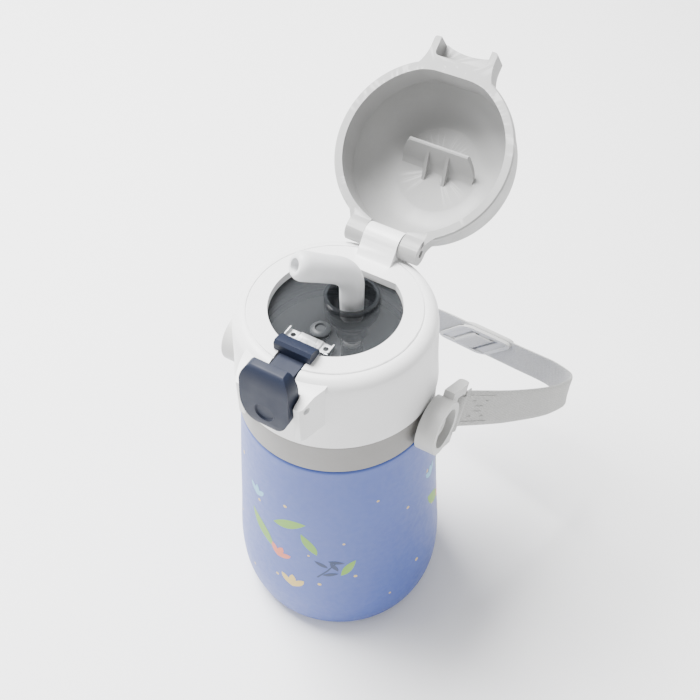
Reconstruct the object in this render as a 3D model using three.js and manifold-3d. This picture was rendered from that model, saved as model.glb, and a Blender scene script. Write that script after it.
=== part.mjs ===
// A child's insulated drinking bottle with a flip lid, a folding spout, a push latch and a carry strap.
// Units are millimetres. +Z is up, the latch faces -Y, the lid's hinge is at +Y, and the strap studs
// are on +X and -X. The origin is the centre of the base, on the surface that the bottle stands on.
import * as THREE from 'three';
import { mergeVertices } from 'three/addons/utils/BufferGeometryUtils.js';
import Module from 'manifold-3d';

const wasm = await Module();
wasm.setup();

// ---------------------------------------------------------------- driving dimensions
const GAP = 0.3;                   // clearance between pieces that touch
const ROUND = 30;                  // facets round a large body
const SMALL = 16;                  // facets round a small one

const BODY_HEIGHT = 108.2;         // from the base to the top of the painted shell
const BASE_R = 34;
const BELLY_R = 42;
const BELLY_Z = 22;
const SHELL_WALL = 0.9;
const LINER_WALL = 0.7;
const FOOT_LIP = 3;                // the painted shell turns in under the foot by this
const LINER_FLOOR_Z = 9;
const VACUUM_SPACE = 3;            // between the shell and the liner at the belly
const NECK_HEIGHT = 26;            // the steel neck stands this far above the painted shell
const FOOT_GROOVE = 1.2;           // a ring pressed up into the base plate

const COLLAR_HEIGHT = 14;
const COLLAR_PROUD = 0.9;          // the collar stands proud of the cap's top by this

const CAP_R = 34.8;
const CAP_HEIGHT = 30.8;
const CAP_WALL = 1.6;
const CAP_TOP_WALL = 3;
const CAP_FLARE = 1.3;             // how much wider the cap is at its lower edge
const SHOULDER = 4.4;
const WINDOW_RIM = 12.2;             // from the window's edge to the cap's outside
const CHORD_IN = 14.4;               // from the window's straight edge to the hinge
const THREAD_DEPTH = 1.1;
const THREAD_PITCH = 4;
const THREAD_TURNS = 1.25;
const THREAD_WIDTH = 0.8;          // half the thread's width at its root

const INSERT_WALL = 2;
const PLUG_DEPTH = 18;
const PLUG_CLEAR = 1.5;
const SOCKET_X = 1.2;
const SOCKET_IN = 10.4;              // from the spout's middle to the window's straight edge
const SOCKET_R = 9.6;
const SOCKET_WALL = 1.3;
const SOCKET_DEPTH = 9;
const STEM_R = 5.6;
const STEM_DEPTH = 8;
const VENT_Y = -9.5;
const VENT_R = 3.5;

const SPOUT_R = 4.7;
const SPOUT_BORE_R = 2.2;
const SPOUT_RISE = 8.9;            // from the cap's top to the bend
const SPOUT_REACH = 23;
const SPOUT_TURN_DEG = 32;         // the spout leans this far off the centre plane
const SPOUT_TILT_DEG = 30;         // and rises this steeply
const STRAW_R = 3.2;
const STRAW_WALL = 0.9;
const STRAW_OFF_FLOOR = 6;
const STRAW_STEP = 10.2;             // the straw is drawn in straight runs no longer than this

const HINGE_BACK = 1.4;            // the hinge axis is this far inside the cap's radius
const HINGE_UP = 2.9;              // and this far above the cap's top
const BARREL_R = 4.8;
const BARREL_WIDTH = 13.4;
const LUG_WIDTH = 7;
const HINGE_PIN_R = 1.1;
const HINGE_WIRE_R = 0.45;
const HINGE_COIL_R = 2.2;
const HINGE_COIL_LENGTH = 4.2;
const LID_OPEN_DEG = 141;

const LID_SET_IN = 2.6;              // the lid's rim stands this far inside the cap's radius
const LID_WALL = 2.2;
const LID_HEIGHT = 26;
const LID_RIM_HEIGHT = 3;
const LID_RIM_STEP = 0.8;
const LID_FLAT_IN = 1.9;           // the flat on the latch side cuts this far into the round inside
const TAB_PAST = 4.6;                // the tab reaches this far past the cap's radius
const TAB_HALF = 12;
const TAB_HEIGHT = 9;
const TAB_SKIN = 1.8;
const TAB_NOTCH = 1.6;             // how far the tab's front edge curves in
const LEDGE_HALF = 14.4;
const LEDGE_DROP = 10;
const LEDGE_Y = -6.6;
const LEDGE_WALL = 1.4;
const GUSSET_X = 4;

const LATCH_PIN_OUT = 3.9;         // the latch's pin is this far outside the cap's radius
const LATCH_PIN_DOWN = 5.6;        // and this far below the cap's top
const LATCH_PIN_R = 1;
const PAD_HALF = 9.1;
const PAD_TOP_UP = 7.2;
const PAD_DROP = 18;
const PAD_FRONT = 4.7;             // from the pin to the pad's front face
const HOOK_HALF = 6.8;
const HOOK_HEIGHT = 3.8;
const HOOK_DEPTH = 5.8;
const NECK_HALF = 4.6;
const CHEEK_WALL = 3;
const CHEEK_FRONT = 2.4;           // from the pin to the cheeks' front edge
const LATCH_COIL_R = 2.4;
const LATCH_WIRE_R = 0.35;

const STUD_R = 3.4;
const STUD_HEAD_R = 4.4;
const CLIP_R = 10;
const CLIP_DEPTH = 7;
const CLIP_HUB = 2.2;              // the thickness left under the clip's round recess
const CLIP_BAR_OUT = 17;
const CLIP_BAR_R = 2;
const CLIP_ARM = 3.6;
const STRAP_WIDTH = 15;
const STRAP_THICK = 1.6;
const STRAP_DROP_DEG = 30;         // how far the strap's loop hangs below the level of the studs
const BUCKLE_LENGTH = 26;
const BUCKLE_WIDTH = 21;
const BUCKLE_DEPTH = 5.6;
const BUCKLE_BAR = 5;
const BUCKLE_X = 18;

// ---------------------------------------------------------------- places that follow from them
const COLLAR_Z = BODY_HEIGHT + GAP;
const COLLAR_R = CAP_R + COLLAR_PROUD;
const COLLAR_TOP_Z = COLLAR_Z + COLLAR_HEIGHT;
const CAP_Z = COLLAR_TOP_Z + GAP;
const CAP_TOP_Z = CAP_Z + CAP_HEIGHT;
const CAP_INNER_R = CAP_R - CAP_WALL;
const CAP_CEILING_Z = CAP_TOP_Z - CAP_TOP_WALL;
const NECK_R = CAP_INNER_R - THREAD_DEPTH - 2 * GAP;
const NECK_TOP_Z = BODY_HEIGHT + NECK_HEIGHT;
const THREAD_Z = CAP_Z + 4;
const LINER_R = NECK_R - SHELL_WALL - GAP;
const BORE_R = LINER_R - LINER_WALL;
const PLUG_R = BORE_R - PLUG_CLEAR;
const INSERT_TOP_Z = CAP_CEILING_Z - GAP;
const PLUG_BOTTOM_Z = INSERT_TOP_Z - PLUG_DEPTH;
const STUD_Z = COLLAR_Z + COLLAR_HEIGHT / 2;
const HINGE_Y = CAP_R - HINGE_BACK;
const WINDOW_R = CAP_R - WINDOW_RIM;
const WINDOW_CHORD_Y = HINGE_Y - CHORD_IN;
const SOCKET_Y = WINDOW_CHORD_Y - SOCKET_IN;
const TAB_REACH = CAP_R + TAB_PAST;
const LID_R = CAP_R - LID_SET_IN;
const HINGE_Z = CAP_TOP_Z + HINGE_UP;
const LID_Z = CAP_TOP_Z + 0.8;
const LID_INNER_R = LID_R - LID_WALL - 0.5;
const LID_FLAT_Y = -(LID_INNER_R - LID_FLAT_IN);
const LATCH_PIN_Y = -(CAP_R + LATCH_PIN_OUT);
const LATCH_PIN_Z = CAP_TOP_Z - LATCH_PIN_DOWN;
const PAD_FRONT_Y = LATCH_PIN_Y - PAD_FRONT;
const PAD_BACK_Y = LATCH_PIN_Y + 1.9;
const PAD_TOP_Z = CAP_TOP_Z + PAD_TOP_UP;
const PAD_BOTTOM_Z = CAP_TOP_Z - PAD_DROP;
const HOOK_FRONT_Y = LID_FLAT_Y + 1.1;
const HOOK_Z = CAP_TOP_Z + GAP;
const HOUSING_HALF = PAD_HALF + 0.6 + CHEEK_WALL;
const SPOUT_BEND_Z = CAP_TOP_Z + SPOUT_RISE;
const SOCKET_FLOOR_Z = INSERT_TOP_Z - SOCKET_DEPTH;
const STEM_BOTTOM_Z = SOCKET_FLOOR_Z - STEM_DEPTH;
const CLIP_X = COLLAR_R + 1.2;

const radians = THREE.MathUtils.degToRad;

// ---------------------------------------------------------------- solids
function toSolid(geometry) {
  const bare = geometry.index ? geometry.toNonIndexed() : geometry.clone();
  bare.deleteAttribute('normal');
  bare.deleteAttribute('uv');
  const merged = mergeVertices(bare, 1e-4);
  return new wasm.Manifold(new wasm.Mesh({
    numProp: 3,
    vertProperties: new Float32Array(merged.attributes.position.array),
    triVerts: new Uint32Array(merged.index.array),
  }));
}

function toGeometry(solid) {
  const mesh = solid.getMesh();
  const geometry = new THREE.BufferGeometry();
  geometry.setAttribute('position', new THREE.BufferAttribute(new Float32Array(mesh.vertProperties), 3));
  geometry.setIndex(new THREE.BufferAttribute(new Uint32Array(mesh.triVerts), 1));
  geometry.computeVertexNormals();
  return geometry;
}

const join = (first, ...others) => others.reduce((a, b) => a.add(b), first);
const cut = (first, ...others) => others.reduce((a, b) => a.subtract(b), first);

// A profile of [radius, height] points turned round a vertical axis.
function turned(profile, { x = 0, y = 0, sides = ROUND } = {}) {
  const points = profile.map(([r, z]) => new THREE.Vector2(r, z));
  const geometry = new THREE.LatheGeometry(points, sides);
  geometry.rotateX(Math.PI / 2);
  geometry.translate(x, y, 0);
  return toSolid(geometry);
}

// A ring or tube with straight walls, from its four radii and heights.
const ring = (inner, outer, low, high, place) => turned(
  [[inner, low], [outer, low], [outer, high], [inner, high], [inner, low]], place);

const disc = (r, low, high, place) => turned([[0, low], [r, low], [r, high], [0, high]], place);

function block(x0, x1, y0, y1, z0, z1) {
  const geometry = new THREE.BoxGeometry(x1 - x0, y1 - y0, z1 - z0);
  geometry.translate((x0 + x1) / 2, (y0 + y1) / 2, (z0 + z1) / 2);
  return toSolid(geometry);
}

// A cylinder along X between two ends.
function rod(r, x0, x1, y, z, sides = SMALL) {
  const geometry = new THREE.CylinderGeometry(r, r, x1 - x0, sides);
  geometry.rotateZ(-Math.PI / 2);
  geometry.translate((x0 + x1) / 2, y, z);
  return toSolid(geometry);
}

function outline(points) {
  return new THREE.Shape(points.map(([a, b]) => new THREE.Vector2(a, b)));
}

// An outline in the XY plane, pushed up from z0 to z1.
function raised(shape, z0, z1, curveSegments = 12) {
  const geometry = new THREE.ExtrudeGeometry(shape, { depth: z1 - z0, bevelEnabled: false, curveSegments });
  geometry.translate(0, 0, z0);
  return toSolid(geometry);
}

// An outline of [y, z] points, pushed along X from x0 to x1.
function crosswise(shape, x0, x1) {
  const geometry = new THREE.ExtrudeGeometry(shape, { depth: x1 - x0, bevelEnabled: false, curveSegments: 8 });
  geometry.applyMatrix4(new THREE.Matrix4().makeBasis(
    new THREE.Vector3(0, 1, 0), new THREE.Vector3(0, 0, 1), new THREE.Vector3(1, 0, 0)));
  geometry.translate(x0, 0, 0);
  return toSolid(geometry);
}

// An outline of [x, z] points, pushed along Y from y0 to y1.
function lengthwise(shape, y0, y1) {
  const geometry = new THREE.ExtrudeGeometry(shape, { depth: y1 - y0, bevelEnabled: false, curveSegments: 8 });
  geometry.rotateX(Math.PI / 2);
  geometry.translate(0, y1, 0);
  return toSolid(geometry);
}

// A round tube or wire along a curve.
function alongCurve(curve, radius, steps, sides = 8) {
  const section = new THREE.Shape();
  for (let i = 0; i < sides; i += 1) {
    const turn = (2 * Math.PI * i) / sides;
    const x = radius * Math.cos(turn);
    const y = radius * Math.sin(turn);
    if (i === 0) {
      section.moveTo(x, y);
    } else {
      section.lineTo(x, y);
    }
  }
  return new THREE.ExtrudeGeometry(section, { steps, extrudePath: curve, bevelEnabled: false });
}

class Helix extends THREE.Curve {
  constructor(radius, length, turns) {
    super();
    this.radius = radius;
    this.length = length;
    this.turns = turns;
  }

  getPoint(t) {
    const turn = 2 * Math.PI * this.turns * t;
    return new THREE.Vector3(
      this.radius * Math.cos(turn), this.radius * Math.sin(turn), this.length * (t - 0.5));
  }
}

function roundedRectangle(halfWidth, halfHeight, corner) {
  const shape = new THREE.Shape();
  shape.moveTo(-halfWidth + corner, -halfHeight);
  shape.lineTo(halfWidth - corner, -halfHeight);
  shape.absarc(halfWidth - corner, -halfHeight + corner, corner, -Math.PI / 2, 0);
  shape.lineTo(halfWidth, halfHeight - corner);
  shape.absarc(halfWidth - corner, halfHeight - corner, corner, 0, Math.PI / 2);
  shape.lineTo(-halfWidth + corner, halfHeight);
  shape.absarc(-halfWidth + corner, halfHeight - corner, corner, Math.PI / 2, Math.PI);
  shape.lineTo(-halfWidth, -halfHeight + corner);
  shape.absarc(-halfWidth + corner, -halfHeight + corner, corner, Math.PI, 1.5 * Math.PI);
  return shape;
}

// ---------------------------------------------------------------- materials and nodes
const finish = (color, roughness, metalness = 0, opacity = 1) => new THREE.MeshStandardMaterial(
  { color, roughness, metalness, opacity, transparent: opacity < 1 });
const paint = () => finish(0x7f9fe0, 0.55);
const steel = () => finish(0xb9bcc0, 0.28, 1);
const wire = () => finish(0xc4c6c9, 0.3, 1);
const whitePlastic = () => finish(0xf0f0f0, 0.42);
const lidPlastic = () => finish(0xcbcbca, 0.45);
const greyPlastic = () => finish(0xb0b0ae, 0.5);
const clipPlastic = () => finish(0xc2c2c0, 0.48);
const navyPlastic = () => finish(0x3a465f, 0.5);
const smoked = () => finish(0x4a4e52, 0.12, 0, 0.4);
const silicone = () => finish(0xe4e6e8, 0.5);
const darkSilicone = () => finish(0x4c4f53, 0.6);
const webbing = () => finish(0xbdbdba, 0.9);

const bottle = new THREE.Group();
const node = (name, geometry, material, parent = bottle) => {
  const mesh = new THREE.Mesh(geometry, material);
  mesh.name = name;
  parent.add(mesh);
};
const solidNode = (name, solid, material, parent) => node(name, toGeometry(solid), material, parent);

// ---------------------------------------------------------------- the flask
// The painted outline from the foot to the neck, moved in by an offset.
function bodyOutline(offset) {
  const waist = COLLAR_R - 0.1;
  const narrowing = BELLY_R - waist;
  const rise = BODY_HEIGHT - BELLY_Z;
  const flank = [0.3, 0.62].map((t) => [BELLY_R - narrowing * t, BELLY_Z + rise * t]);
  return [
    [BASE_R - offset, 0],
    [BASE_R + (BELLY_R - BASE_R) * 0.6 - offset, BELLY_Z * 0.13],
    [BASE_R + (BELLY_R - BASE_R) * 0.9 - offset, BELLY_Z * 0.42],
    [BELLY_R - offset, BELLY_Z],
    ...flank.map(([r, z]) => [r - offset, z]),
    [waist - offset, BODY_HEIGHT - 4],
    [waist - 0.6 - offset, BODY_HEIGHT - offset],
  ];
}

function outerShell() {
  const outside = bodyOutline(0);
  const inside = bodyOutline(SHELL_WALL);
  const foot = BASE_R - FOOT_LIP;
  const skin = turned([
    ...outside, [NECK_R, BODY_HEIGHT], [NECK_R, NECK_TOP_Z], [NECK_R - SHELL_WALL, NECK_TOP_Z],
    [NECK_R - SHELL_WALL, BODY_HEIGHT - SHELL_WALL], ...inside.slice(1).reverse(),
    [BASE_R - SHELL_WALL, SHELL_WALL], [foot, SHELL_WALL], [foot, 0], outside[0],
  ]);
  return join(skin, thread(NECK_R - 0.5, NECK_R + THREAD_DEPTH, THREAD_Z));
}

// A screw thread that rises by THREAD_PITCH a turn, from its root to its crest. The neck's and the
// cap's lie half a pitch apart, so either can turn and climb past the other.
function thread(root, crest, low) {
  const steps = Math.round(THREAD_TURNS * ROUND);
  const positions = [];
  const index = [];
  for (let i = 0; i <= steps; i += 1) {
    const turn = (2 * Math.PI * i) / ROUND;
    const z = low + (THREAD_PITCH * i) / ROUND;
    const section = [[root, z - THREAD_WIDTH], [crest, z - THREAD_WIDTH / 2],
      [crest, z + THREAD_WIDTH / 2], [root, z + THREAD_WIDTH]];
    for (const [r, height] of section) {
      positions.push(r * Math.cos(turn), r * Math.sin(turn), height);
    }
  }
  bandFaces(index, steps);
  if (crest > root) {
    index.reverse();
  }
  const geometry = new THREE.BufferGeometry();
  geometry.setAttribute('position', new THREE.Float32BufferAttribute(positions, 3));
  geometry.setIndex(index);
  return toSolid(geometry);
}

// The faces of a bar whose sections have four corners each, with both its ends.
function bandFaces(index, steps) {
  for (let i = 0; i < steps; i += 1) {
    for (let k = 0; k < 4; k += 1) {
      const a = 4 * i + k;
      const b = 4 * i + ((k + 1) % 4);
      index.push(a, b, b + 4, a, b + 4, a + 4);
    }
  }
  const last = 4 * steps;
  index.push(0, 2, 1, 0, 3, 2, last, last + 1, last + 2, last, last + 2, last + 3);
}

function innerLiner() {
  const inset = SHELL_WALL + VACUUM_SPACE;
  const shoulderZ = BODY_HEIGHT - inset - 2;
  const wide = COLLAR_R - inset - 0.6;
  const outside = [
    [0, LINER_FLOOR_Z], [BASE_R - 6, LINER_FLOOR_Z], [BASE_R + 1, LINER_FLOOR_Z + 4],
    [BELLY_R - inset, BELLY_Z + 2], [wide, shoulderZ - 8], [LINER_R, shoulderZ], [LINER_R, NECK_TOP_Z],
  ];
  const lip = [[LINER_R, NECK_TOP_Z + GAP], [NECK_R, NECK_TOP_Z + GAP], [NECK_R, NECK_TOP_Z + 1]];
  const inside = [
    [BORE_R, NECK_TOP_Z + 1], [BORE_R, shoulderZ - 1], [wide - LINER_WALL, shoulderZ - 9],
    [BELLY_R - inset - LINER_WALL, BELLY_Z + 2], [BASE_R + 0.4, LINER_FLOOR_Z + 4.6],
    [BASE_R - 6.4, LINER_FLOOR_Z + LINER_WALL], [0, LINER_FLOOR_Z + LINER_WALL],
  ];
  return turned([...outside, ...lip, ...inside]);
}

function basePlate() {
  const r = BASE_R - FOOT_LIP - GAP;
  const pressed = FOOT_GROOVE + SHELL_WALL;
  return turned([
    [0, 0], [r - 15, 0], [r - 13.4, FOOT_GROOVE], [r - 6, FOOT_GROOVE], [r - 4.4, 0], [r, 0],
    [r, SHELL_WALL], [r - 4, SHELL_WALL], [r - 5.6, pressed], [r - 13.8, pressed], [r - 15.4, SHELL_WALL],
    [0, SHELL_WALL],
  ]);
}

solidNode('outer_shell', outerShell(), paint());
solidNode('inner_liner', innerLiner(), steel());
solidNode('base_plate', basePlate(), steel());
solidNode('vacuum_getter', disc(3, SHELL_WALL + GAP, SHELL_WALL + 2.2, { x: 8, sides: SMALL }), steel());

// ---------------------------------------------------------------- the collar and its studs
function collar() {
  const inner = NECK_R + THREAD_DEPTH + GAP;
  const body = turned([
    [inner, COLLAR_Z], [COLLAR_R - 0.6, COLLAR_Z], [COLLAR_R, COLLAR_Z + 0.6],
    [COLLAR_R, COLLAR_TOP_Z - 0.6], [COLLAR_R - 0.6, COLLAR_TOP_Z], [inner, COLLAR_TOP_Z], [inner, COLLAR_Z],
  ]);
  const boss = rod(STUD_R + 2, COLLAR_R - 3, COLLAR_R + 0.6, 0, STUD_Z);
  const hole = rod(STUD_R - 1 + GAP, inner - 4, COLLAR_R + 4, 0, STUD_Z);
  const otherBoss = rod(STUD_R + 2, -COLLAR_R - 0.6, -COLLAR_R + 3, 0, STUD_Z);
  const otherHole = rod(STUD_R - 1 + GAP, -COLLAR_R - 4, 4 - inner, 0, STUD_Z);
  const bore = disc(inner, COLLAR_Z - 1, COLLAR_TOP_Z + 1);
  return cut(join(body, boss, otherBoss), bore, hole, otherHole);
}

// The stud is pressed into the collar; its wide head keeps the clip on.
function stud(side) {
  const neckX = CLIP_X + CLIP_HUB + GAP;
  const shank = rod(STUD_R - 1, COLLAR_R - 2.6, neckX, 0, STUD_Z);
  const head = rod(STUD_HEAD_R, neckX, neckX + 2.6, 0, STUD_Z);
  const geometry = toGeometry(join(shank, head));
  if (side < 0) {
    geometry.rotateZ(Math.PI);
  }
  return geometry;
}

solidNode('collar_ring', collar(), greyPlastic());
node('stud_right', stud(1), clipPlastic());
node('stud_left', stud(-1), clipPlastic());

// ---------------------------------------------------------------- the cap
function windowOutline(r, chordY) {
  const half = Math.sqrt(r * r - chordY * chordY);
  const start = Math.atan2(chordY, -half);
  const end = Math.atan2(chordY, half) + 2 * Math.PI;
  const shape = new THREE.Shape();
  shape.absarc(0, 0, r, start, end, false);
  shape.closePath();
  return shape;
}

function capShell() {
  const arc = [0.25, 0.5, 0.75].map((t) => {
    const turn = (t * Math.PI) / 2;
    return [CAP_R - 0.3 - SHOULDER * (1 - Math.cos(turn)), CAP_TOP_Z - 0.2 - SHOULDER * (1 - Math.sin(turn))];
  });
  const skin = turned([
    [0, CAP_CEILING_Z], [CAP_INNER_R, CAP_CEILING_Z], [CAP_INNER_R, CAP_Z], [CAP_R + CAP_FLARE, CAP_Z],
    [CAP_R + CAP_FLARE * 0.7, CAP_Z + 5], [CAP_R, CAP_TOP_Z - SHOULDER - 2],
    [CAP_R - 0.3, CAP_TOP_Z - 0.2 - SHOULDER], ...arc,
    [CAP_R - 0.3 - SHOULDER, CAP_TOP_Z - 0.2], [CAP_R - 0.6 - SHOULDER, CAP_TOP_Z], [0, CAP_TOP_Z],
  ]);
  const screw = thread(CAP_INNER_R + 0.5, CAP_INNER_R - THREAD_DEPTH, THREAD_Z - THREAD_PITCH / 2);
  const window = raised(windowOutline(WINDOW_R, WINDOW_CHORD_Y), CAP_CEILING_Z - 1, CAP_TOP_Z + 1, 30);
  const hollow = disc(CAP_INNER_R, CAP_Z - 1, CAP_CEILING_Z);
  const solid = join(cut(join(skin, latchHousing(), hingeBarrel()), hollow), screw);
  return cut(solid, window, ...latchCuts(), ...hingeCuts());
}

// The block on the cap's front whose two cheeks carry the latch's pin.
function latchHousing() {
  const front = LATCH_PIN_Y - CHEEK_FRONT;
  const shape = outline([
    [-HOUSING_HALF - 2.4, -CAP_R + 6], [-HOUSING_HALF - 2.4, -CAP_R + 3.4], [-HOUSING_HALF, front + 1],
    [-HOUSING_HALF + 1, front], [HOUSING_HALF - 1, front], [HOUSING_HALF, front + 1],
    [HOUSING_HALF + 2.4, -CAP_R + 3.4], [HOUSING_HALF + 2.4, -CAP_R + 6],
  ]);
  const high = CAP_TOP_Z - 1.6;
  const low = PAD_BOTTOM_Z - 1;
  const slope = crosswise(outline([
    [front - 1, high - 3], [front - 1, high + 4], [-CAP_R + 5, high + 4], [-CAP_R + 0.5, high + 0.6],
  ]), -HOUSING_HALF - 5, HOUSING_HALF + 5);
  return cut(raised(shape, low, high), slope);
}

function latchCuts() {
  const channelBack = PAD_BACK_Y + GAP;
  const channel = block(-PAD_HALF - 0.6, PAD_HALF + 0.6, LATCH_PIN_Y - 8, channelBack,
    PAD_BOTTOM_Z - 4, CAP_TOP_Z + 4);
  const slot = block(-NECK_HALF - 0.6, NECK_HALF + 0.6, channelBack - 1, -WINDOW_R + 4,
    CAP_CEILING_Z - 0.2, CAP_TOP_Z + 4);
  const pinHole = rod(LATCH_PIN_R + GAP, -HOUSING_HALF - 2, HOUSING_HALF + 2, LATCH_PIN_Y, LATCH_PIN_Z);
  return [channel, slot, pinHole];
}

// The barrel stands on the cap's back edge and runs down into the top and the back wall.
function hingeBarrel() {
  const half = BARREL_WIDTH / 2;
  const barrel = rod(BARREL_R, -half, half, HINGE_Y, HINGE_Z, 24);
  const foot = crosswise(outline([
    [HINGE_Y - 9.4, CAP_TOP_Z - 1], [HINGE_Y - 9.4, CAP_TOP_Z], [HINGE_Y - 3.8, HINGE_Z + 2.6],
    [HINGE_Y, HINGE_Z + 2.6], [HINGE_Y + BARREL_R - 0.15, HINGE_Z], [HINGE_Y + BARREL_R - 0.6, HINGE_Z - 2.4],
    [CAP_R - 0.6, CAP_TOP_Z - 9], [CAP_R - 2, CAP_TOP_Z - 9],
  ]), -half, half);
  return join(barrel, foot);
}

function hingeCuts() {
  const half = BARREL_WIDTH / 2;
  const pinHole = rod(HINGE_PIN_R + GAP, -half - 1, half + 1, HINGE_Y, HINGE_Z);
  const springWell = rod(HINGE_COIL_R + HINGE_WIRE_R + GAP, half - HINGE_COIL_LENGTH - 1.4, half + 1,
    HINGE_Y, HINGE_Z);
  const right = rod(BARREL_R + 0.5, half, half + LUG_WIDTH + 1.2, HINGE_Y, HINGE_Z, 24);
  const left = rod(BARREL_R + 0.5, -half - LUG_WIDTH - 1.2, -half, HINGE_Y, HINGE_Z, 24);
  return [pinHole, springWell, right, left];
}

const cap = new THREE.Group();
bottle.add(cap);
solidNode('cap_shell', capShell(), whitePlastic(), cap);

// ---------------------------------------------------------------- the clear insert under the cap
function windowInsert() {
  const socket = { x: SOCKET_X, y: SOCKET_Y, sides: 20 };
  const low = INSERT_TOP_Z - INSERT_WALL;
  const rim = CAP_INNER_R - GAP;
  const wall = turned([
    [PLUG_R - INSERT_WALL, PLUG_BOTTOM_Z], [PLUG_R, PLUG_BOTTOM_Z], [PLUG_R, PLUG_BOTTOM_Z + 2],
    [PLUG_R - 1, PLUG_BOTTOM_Z + 2], [PLUG_R - 1, PLUG_BOTTOM_Z + 5], [PLUG_R, PLUG_BOTTOM_Z + 5],
    [PLUG_R, low - 1], [rim, low], [rim, INSERT_TOP_Z], [0, INSERT_TOP_Z], [0, low],
    [PLUG_R - INSERT_WALL, low], [PLUG_R - INSERT_WALL, PLUG_BOTTOM_Z],
  ]);
  const cup = turned([
    [0, SOCKET_FLOOR_Z - SOCKET_WALL], [STEM_R, SOCKET_FLOOR_Z - SOCKET_WALL - 1], [SOCKET_R - 2, SOCKET_FLOOR_Z],
    [SOCKET_R, SOCKET_FLOOR_Z + 3], [SOCKET_R, INSERT_TOP_Z - 0.5], [0, INSERT_TOP_Z - 0.5],
  ], socket);
  const stem = disc(STEM_R, STEM_BOTTOM_Z, SOCKET_FLOOR_Z, socket);
  const mouth = turned([
    [0, SOCKET_FLOOR_Z], [SOCKET_R - 3.4, SOCKET_FLOOR_Z], [SOCKET_R - SOCKET_WALL, SOCKET_FLOOR_Z + 2.6],
    [SOCKET_R - SOCKET_WALL, INSERT_TOP_Z + 1], [0, INSERT_TOP_Z + 1],
  ], socket);
  const bore = disc(STEM_R - SOCKET_WALL, STEM_BOTTOM_Z - 1, SOCKET_FLOOR_Z + 1, socket);
  const vent = disc(VENT_R - 1.2 + GAP, low - 1, INSERT_TOP_Z + 1, { y: VENT_Y, sides: SMALL });
  return cut(join(wall, cup, stem), mouth, bore, vent);
}

function capGasket() {
  const inner = PLUG_R - 1 + GAP;
  const low = PLUG_BOTTOM_Z + 2 + GAP;
  const high = PLUG_BOTTOM_Z + 5 - GAP;
  return turned([[inner, low], [PLUG_R, low], [BORE_R - GAP, low + 0.7], [BORE_R - GAP, high - 0.7],
    [PLUG_R, high], [inner, high], [inner, low]]);
}

function ventValve() {
  const low = INSERT_TOP_Z - INSERT_WALL;
  return turned([
    [0, low - 1.6], [VENT_R - 0.6, low - 1.2], [VENT_R - 0.6, low - GAP], [VENT_R - 1.2, low - GAP],
    [VENT_R - 1.2, INSERT_TOP_Z + GAP], [VENT_R, INSERT_TOP_Z + GAP], [VENT_R - 0.5, INSERT_TOP_Z + 1.3],
    [0, INSERT_TOP_Z + 1.5],
  ], { y: VENT_Y, sides: SMALL });
}

// The bent steel strip behind the latch.
function latchStrip() {
  const y = VENT_Y - VENT_R - 3.2;
  const z = INSERT_TOP_Z + GAP;
  const flat = block(-8.5, 8.5, y - 2, y + 2, z, z + 0.6);
  const ends = [-8.5, 7.9].map((x) => block(x, x + 0.6, y - 2, y + 2, z, z + 2));
  return join(flat, ...ends);
}

solidNode('window_insert', windowInsert(), smoked(), cap);
solidNode('cap_gasket', capGasket(), silicone(), cap);
solidNode('vent_valve', ventValve(), darkSilicone(), cap);
solidNode('latch_strip', latchStrip(), steel(), cap);

// ---------------------------------------------------------------- the spout and the straw
// The leg stands in the socket; the arm starts at the bend and folds down under the closing lid.
function spoutLeg() {
  const foot = SOCKET_FLOOR_Z + GAP;
  return ring(SPOUT_BORE_R, SPOUT_R - 0.6, foot, SPOUT_BEND_Z - SPOUT_R - GAP,
    { x: SOCKET_X, y: SOCKET_Y, sides: SMALL });
}

function spoutArm() {
  return turned([
    [0, -SPOUT_R], [SPOUT_R * 0.5, -SPOUT_R * 0.87], [SPOUT_R * 0.87, -SPOUT_R * 0.5], [SPOUT_R, 0],
    [SPOUT_R, SPOUT_REACH - 7], [SPOUT_R + 0.3, SPOUT_REACH - 4], [SPOUT_R + 0.3, SPOUT_REACH - 1],
    [SPOUT_R - 1, SPOUT_REACH + 0.4], [SPOUT_BORE_R, SPOUT_REACH], [SPOUT_BORE_R, 1.5], [0, 1.5],
  ], { sides: SMALL });
}

function strawCurve() {
  const top = STEM_BOTTOM_Z + 4;
  const low = LINER_FLOOR_Z + LINER_WALL + STRAW_OFF_FLOOR;
  return new THREE.CatmullRomCurve3([
    new THREE.Vector3(SOCKET_X, SOCKET_Y, top),
    new THREE.Vector3(SOCKET_X, SOCKET_Y, top - 8),
    new THREE.Vector3(SOCKET_X + 3, SOCKET_Y + 1, top - 22),
    new THREE.Vector3(SOCKET_X + 6, SOCKET_Y + 2, (top + low) / 2),
    new THREE.Vector3(SOCKET_X + 7, SOCKET_Y + 3, low),
  ]);
}

function straw() {
  const bore = STRAW_R - STRAW_WALL;
  const steps = Math.ceil(strawCurve().getLength() / STRAW_STEP);
  return cut(toSolid(alongCurve(strawCurve(), STRAW_R, steps, 12)),
    toSolid(alongCurve(longer(strawCurve()), bore, steps, 8)));
}

// The same curve, run on a little past both ends, for boring the straw through.
function longer(curve) {
  const points = curve.points.map((p) => p.clone());
  points[0].z += 0.8;
  points[points.length - 1].z -= 0.8;
  return new THREE.CatmullRomCurve3(points);
}

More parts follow.
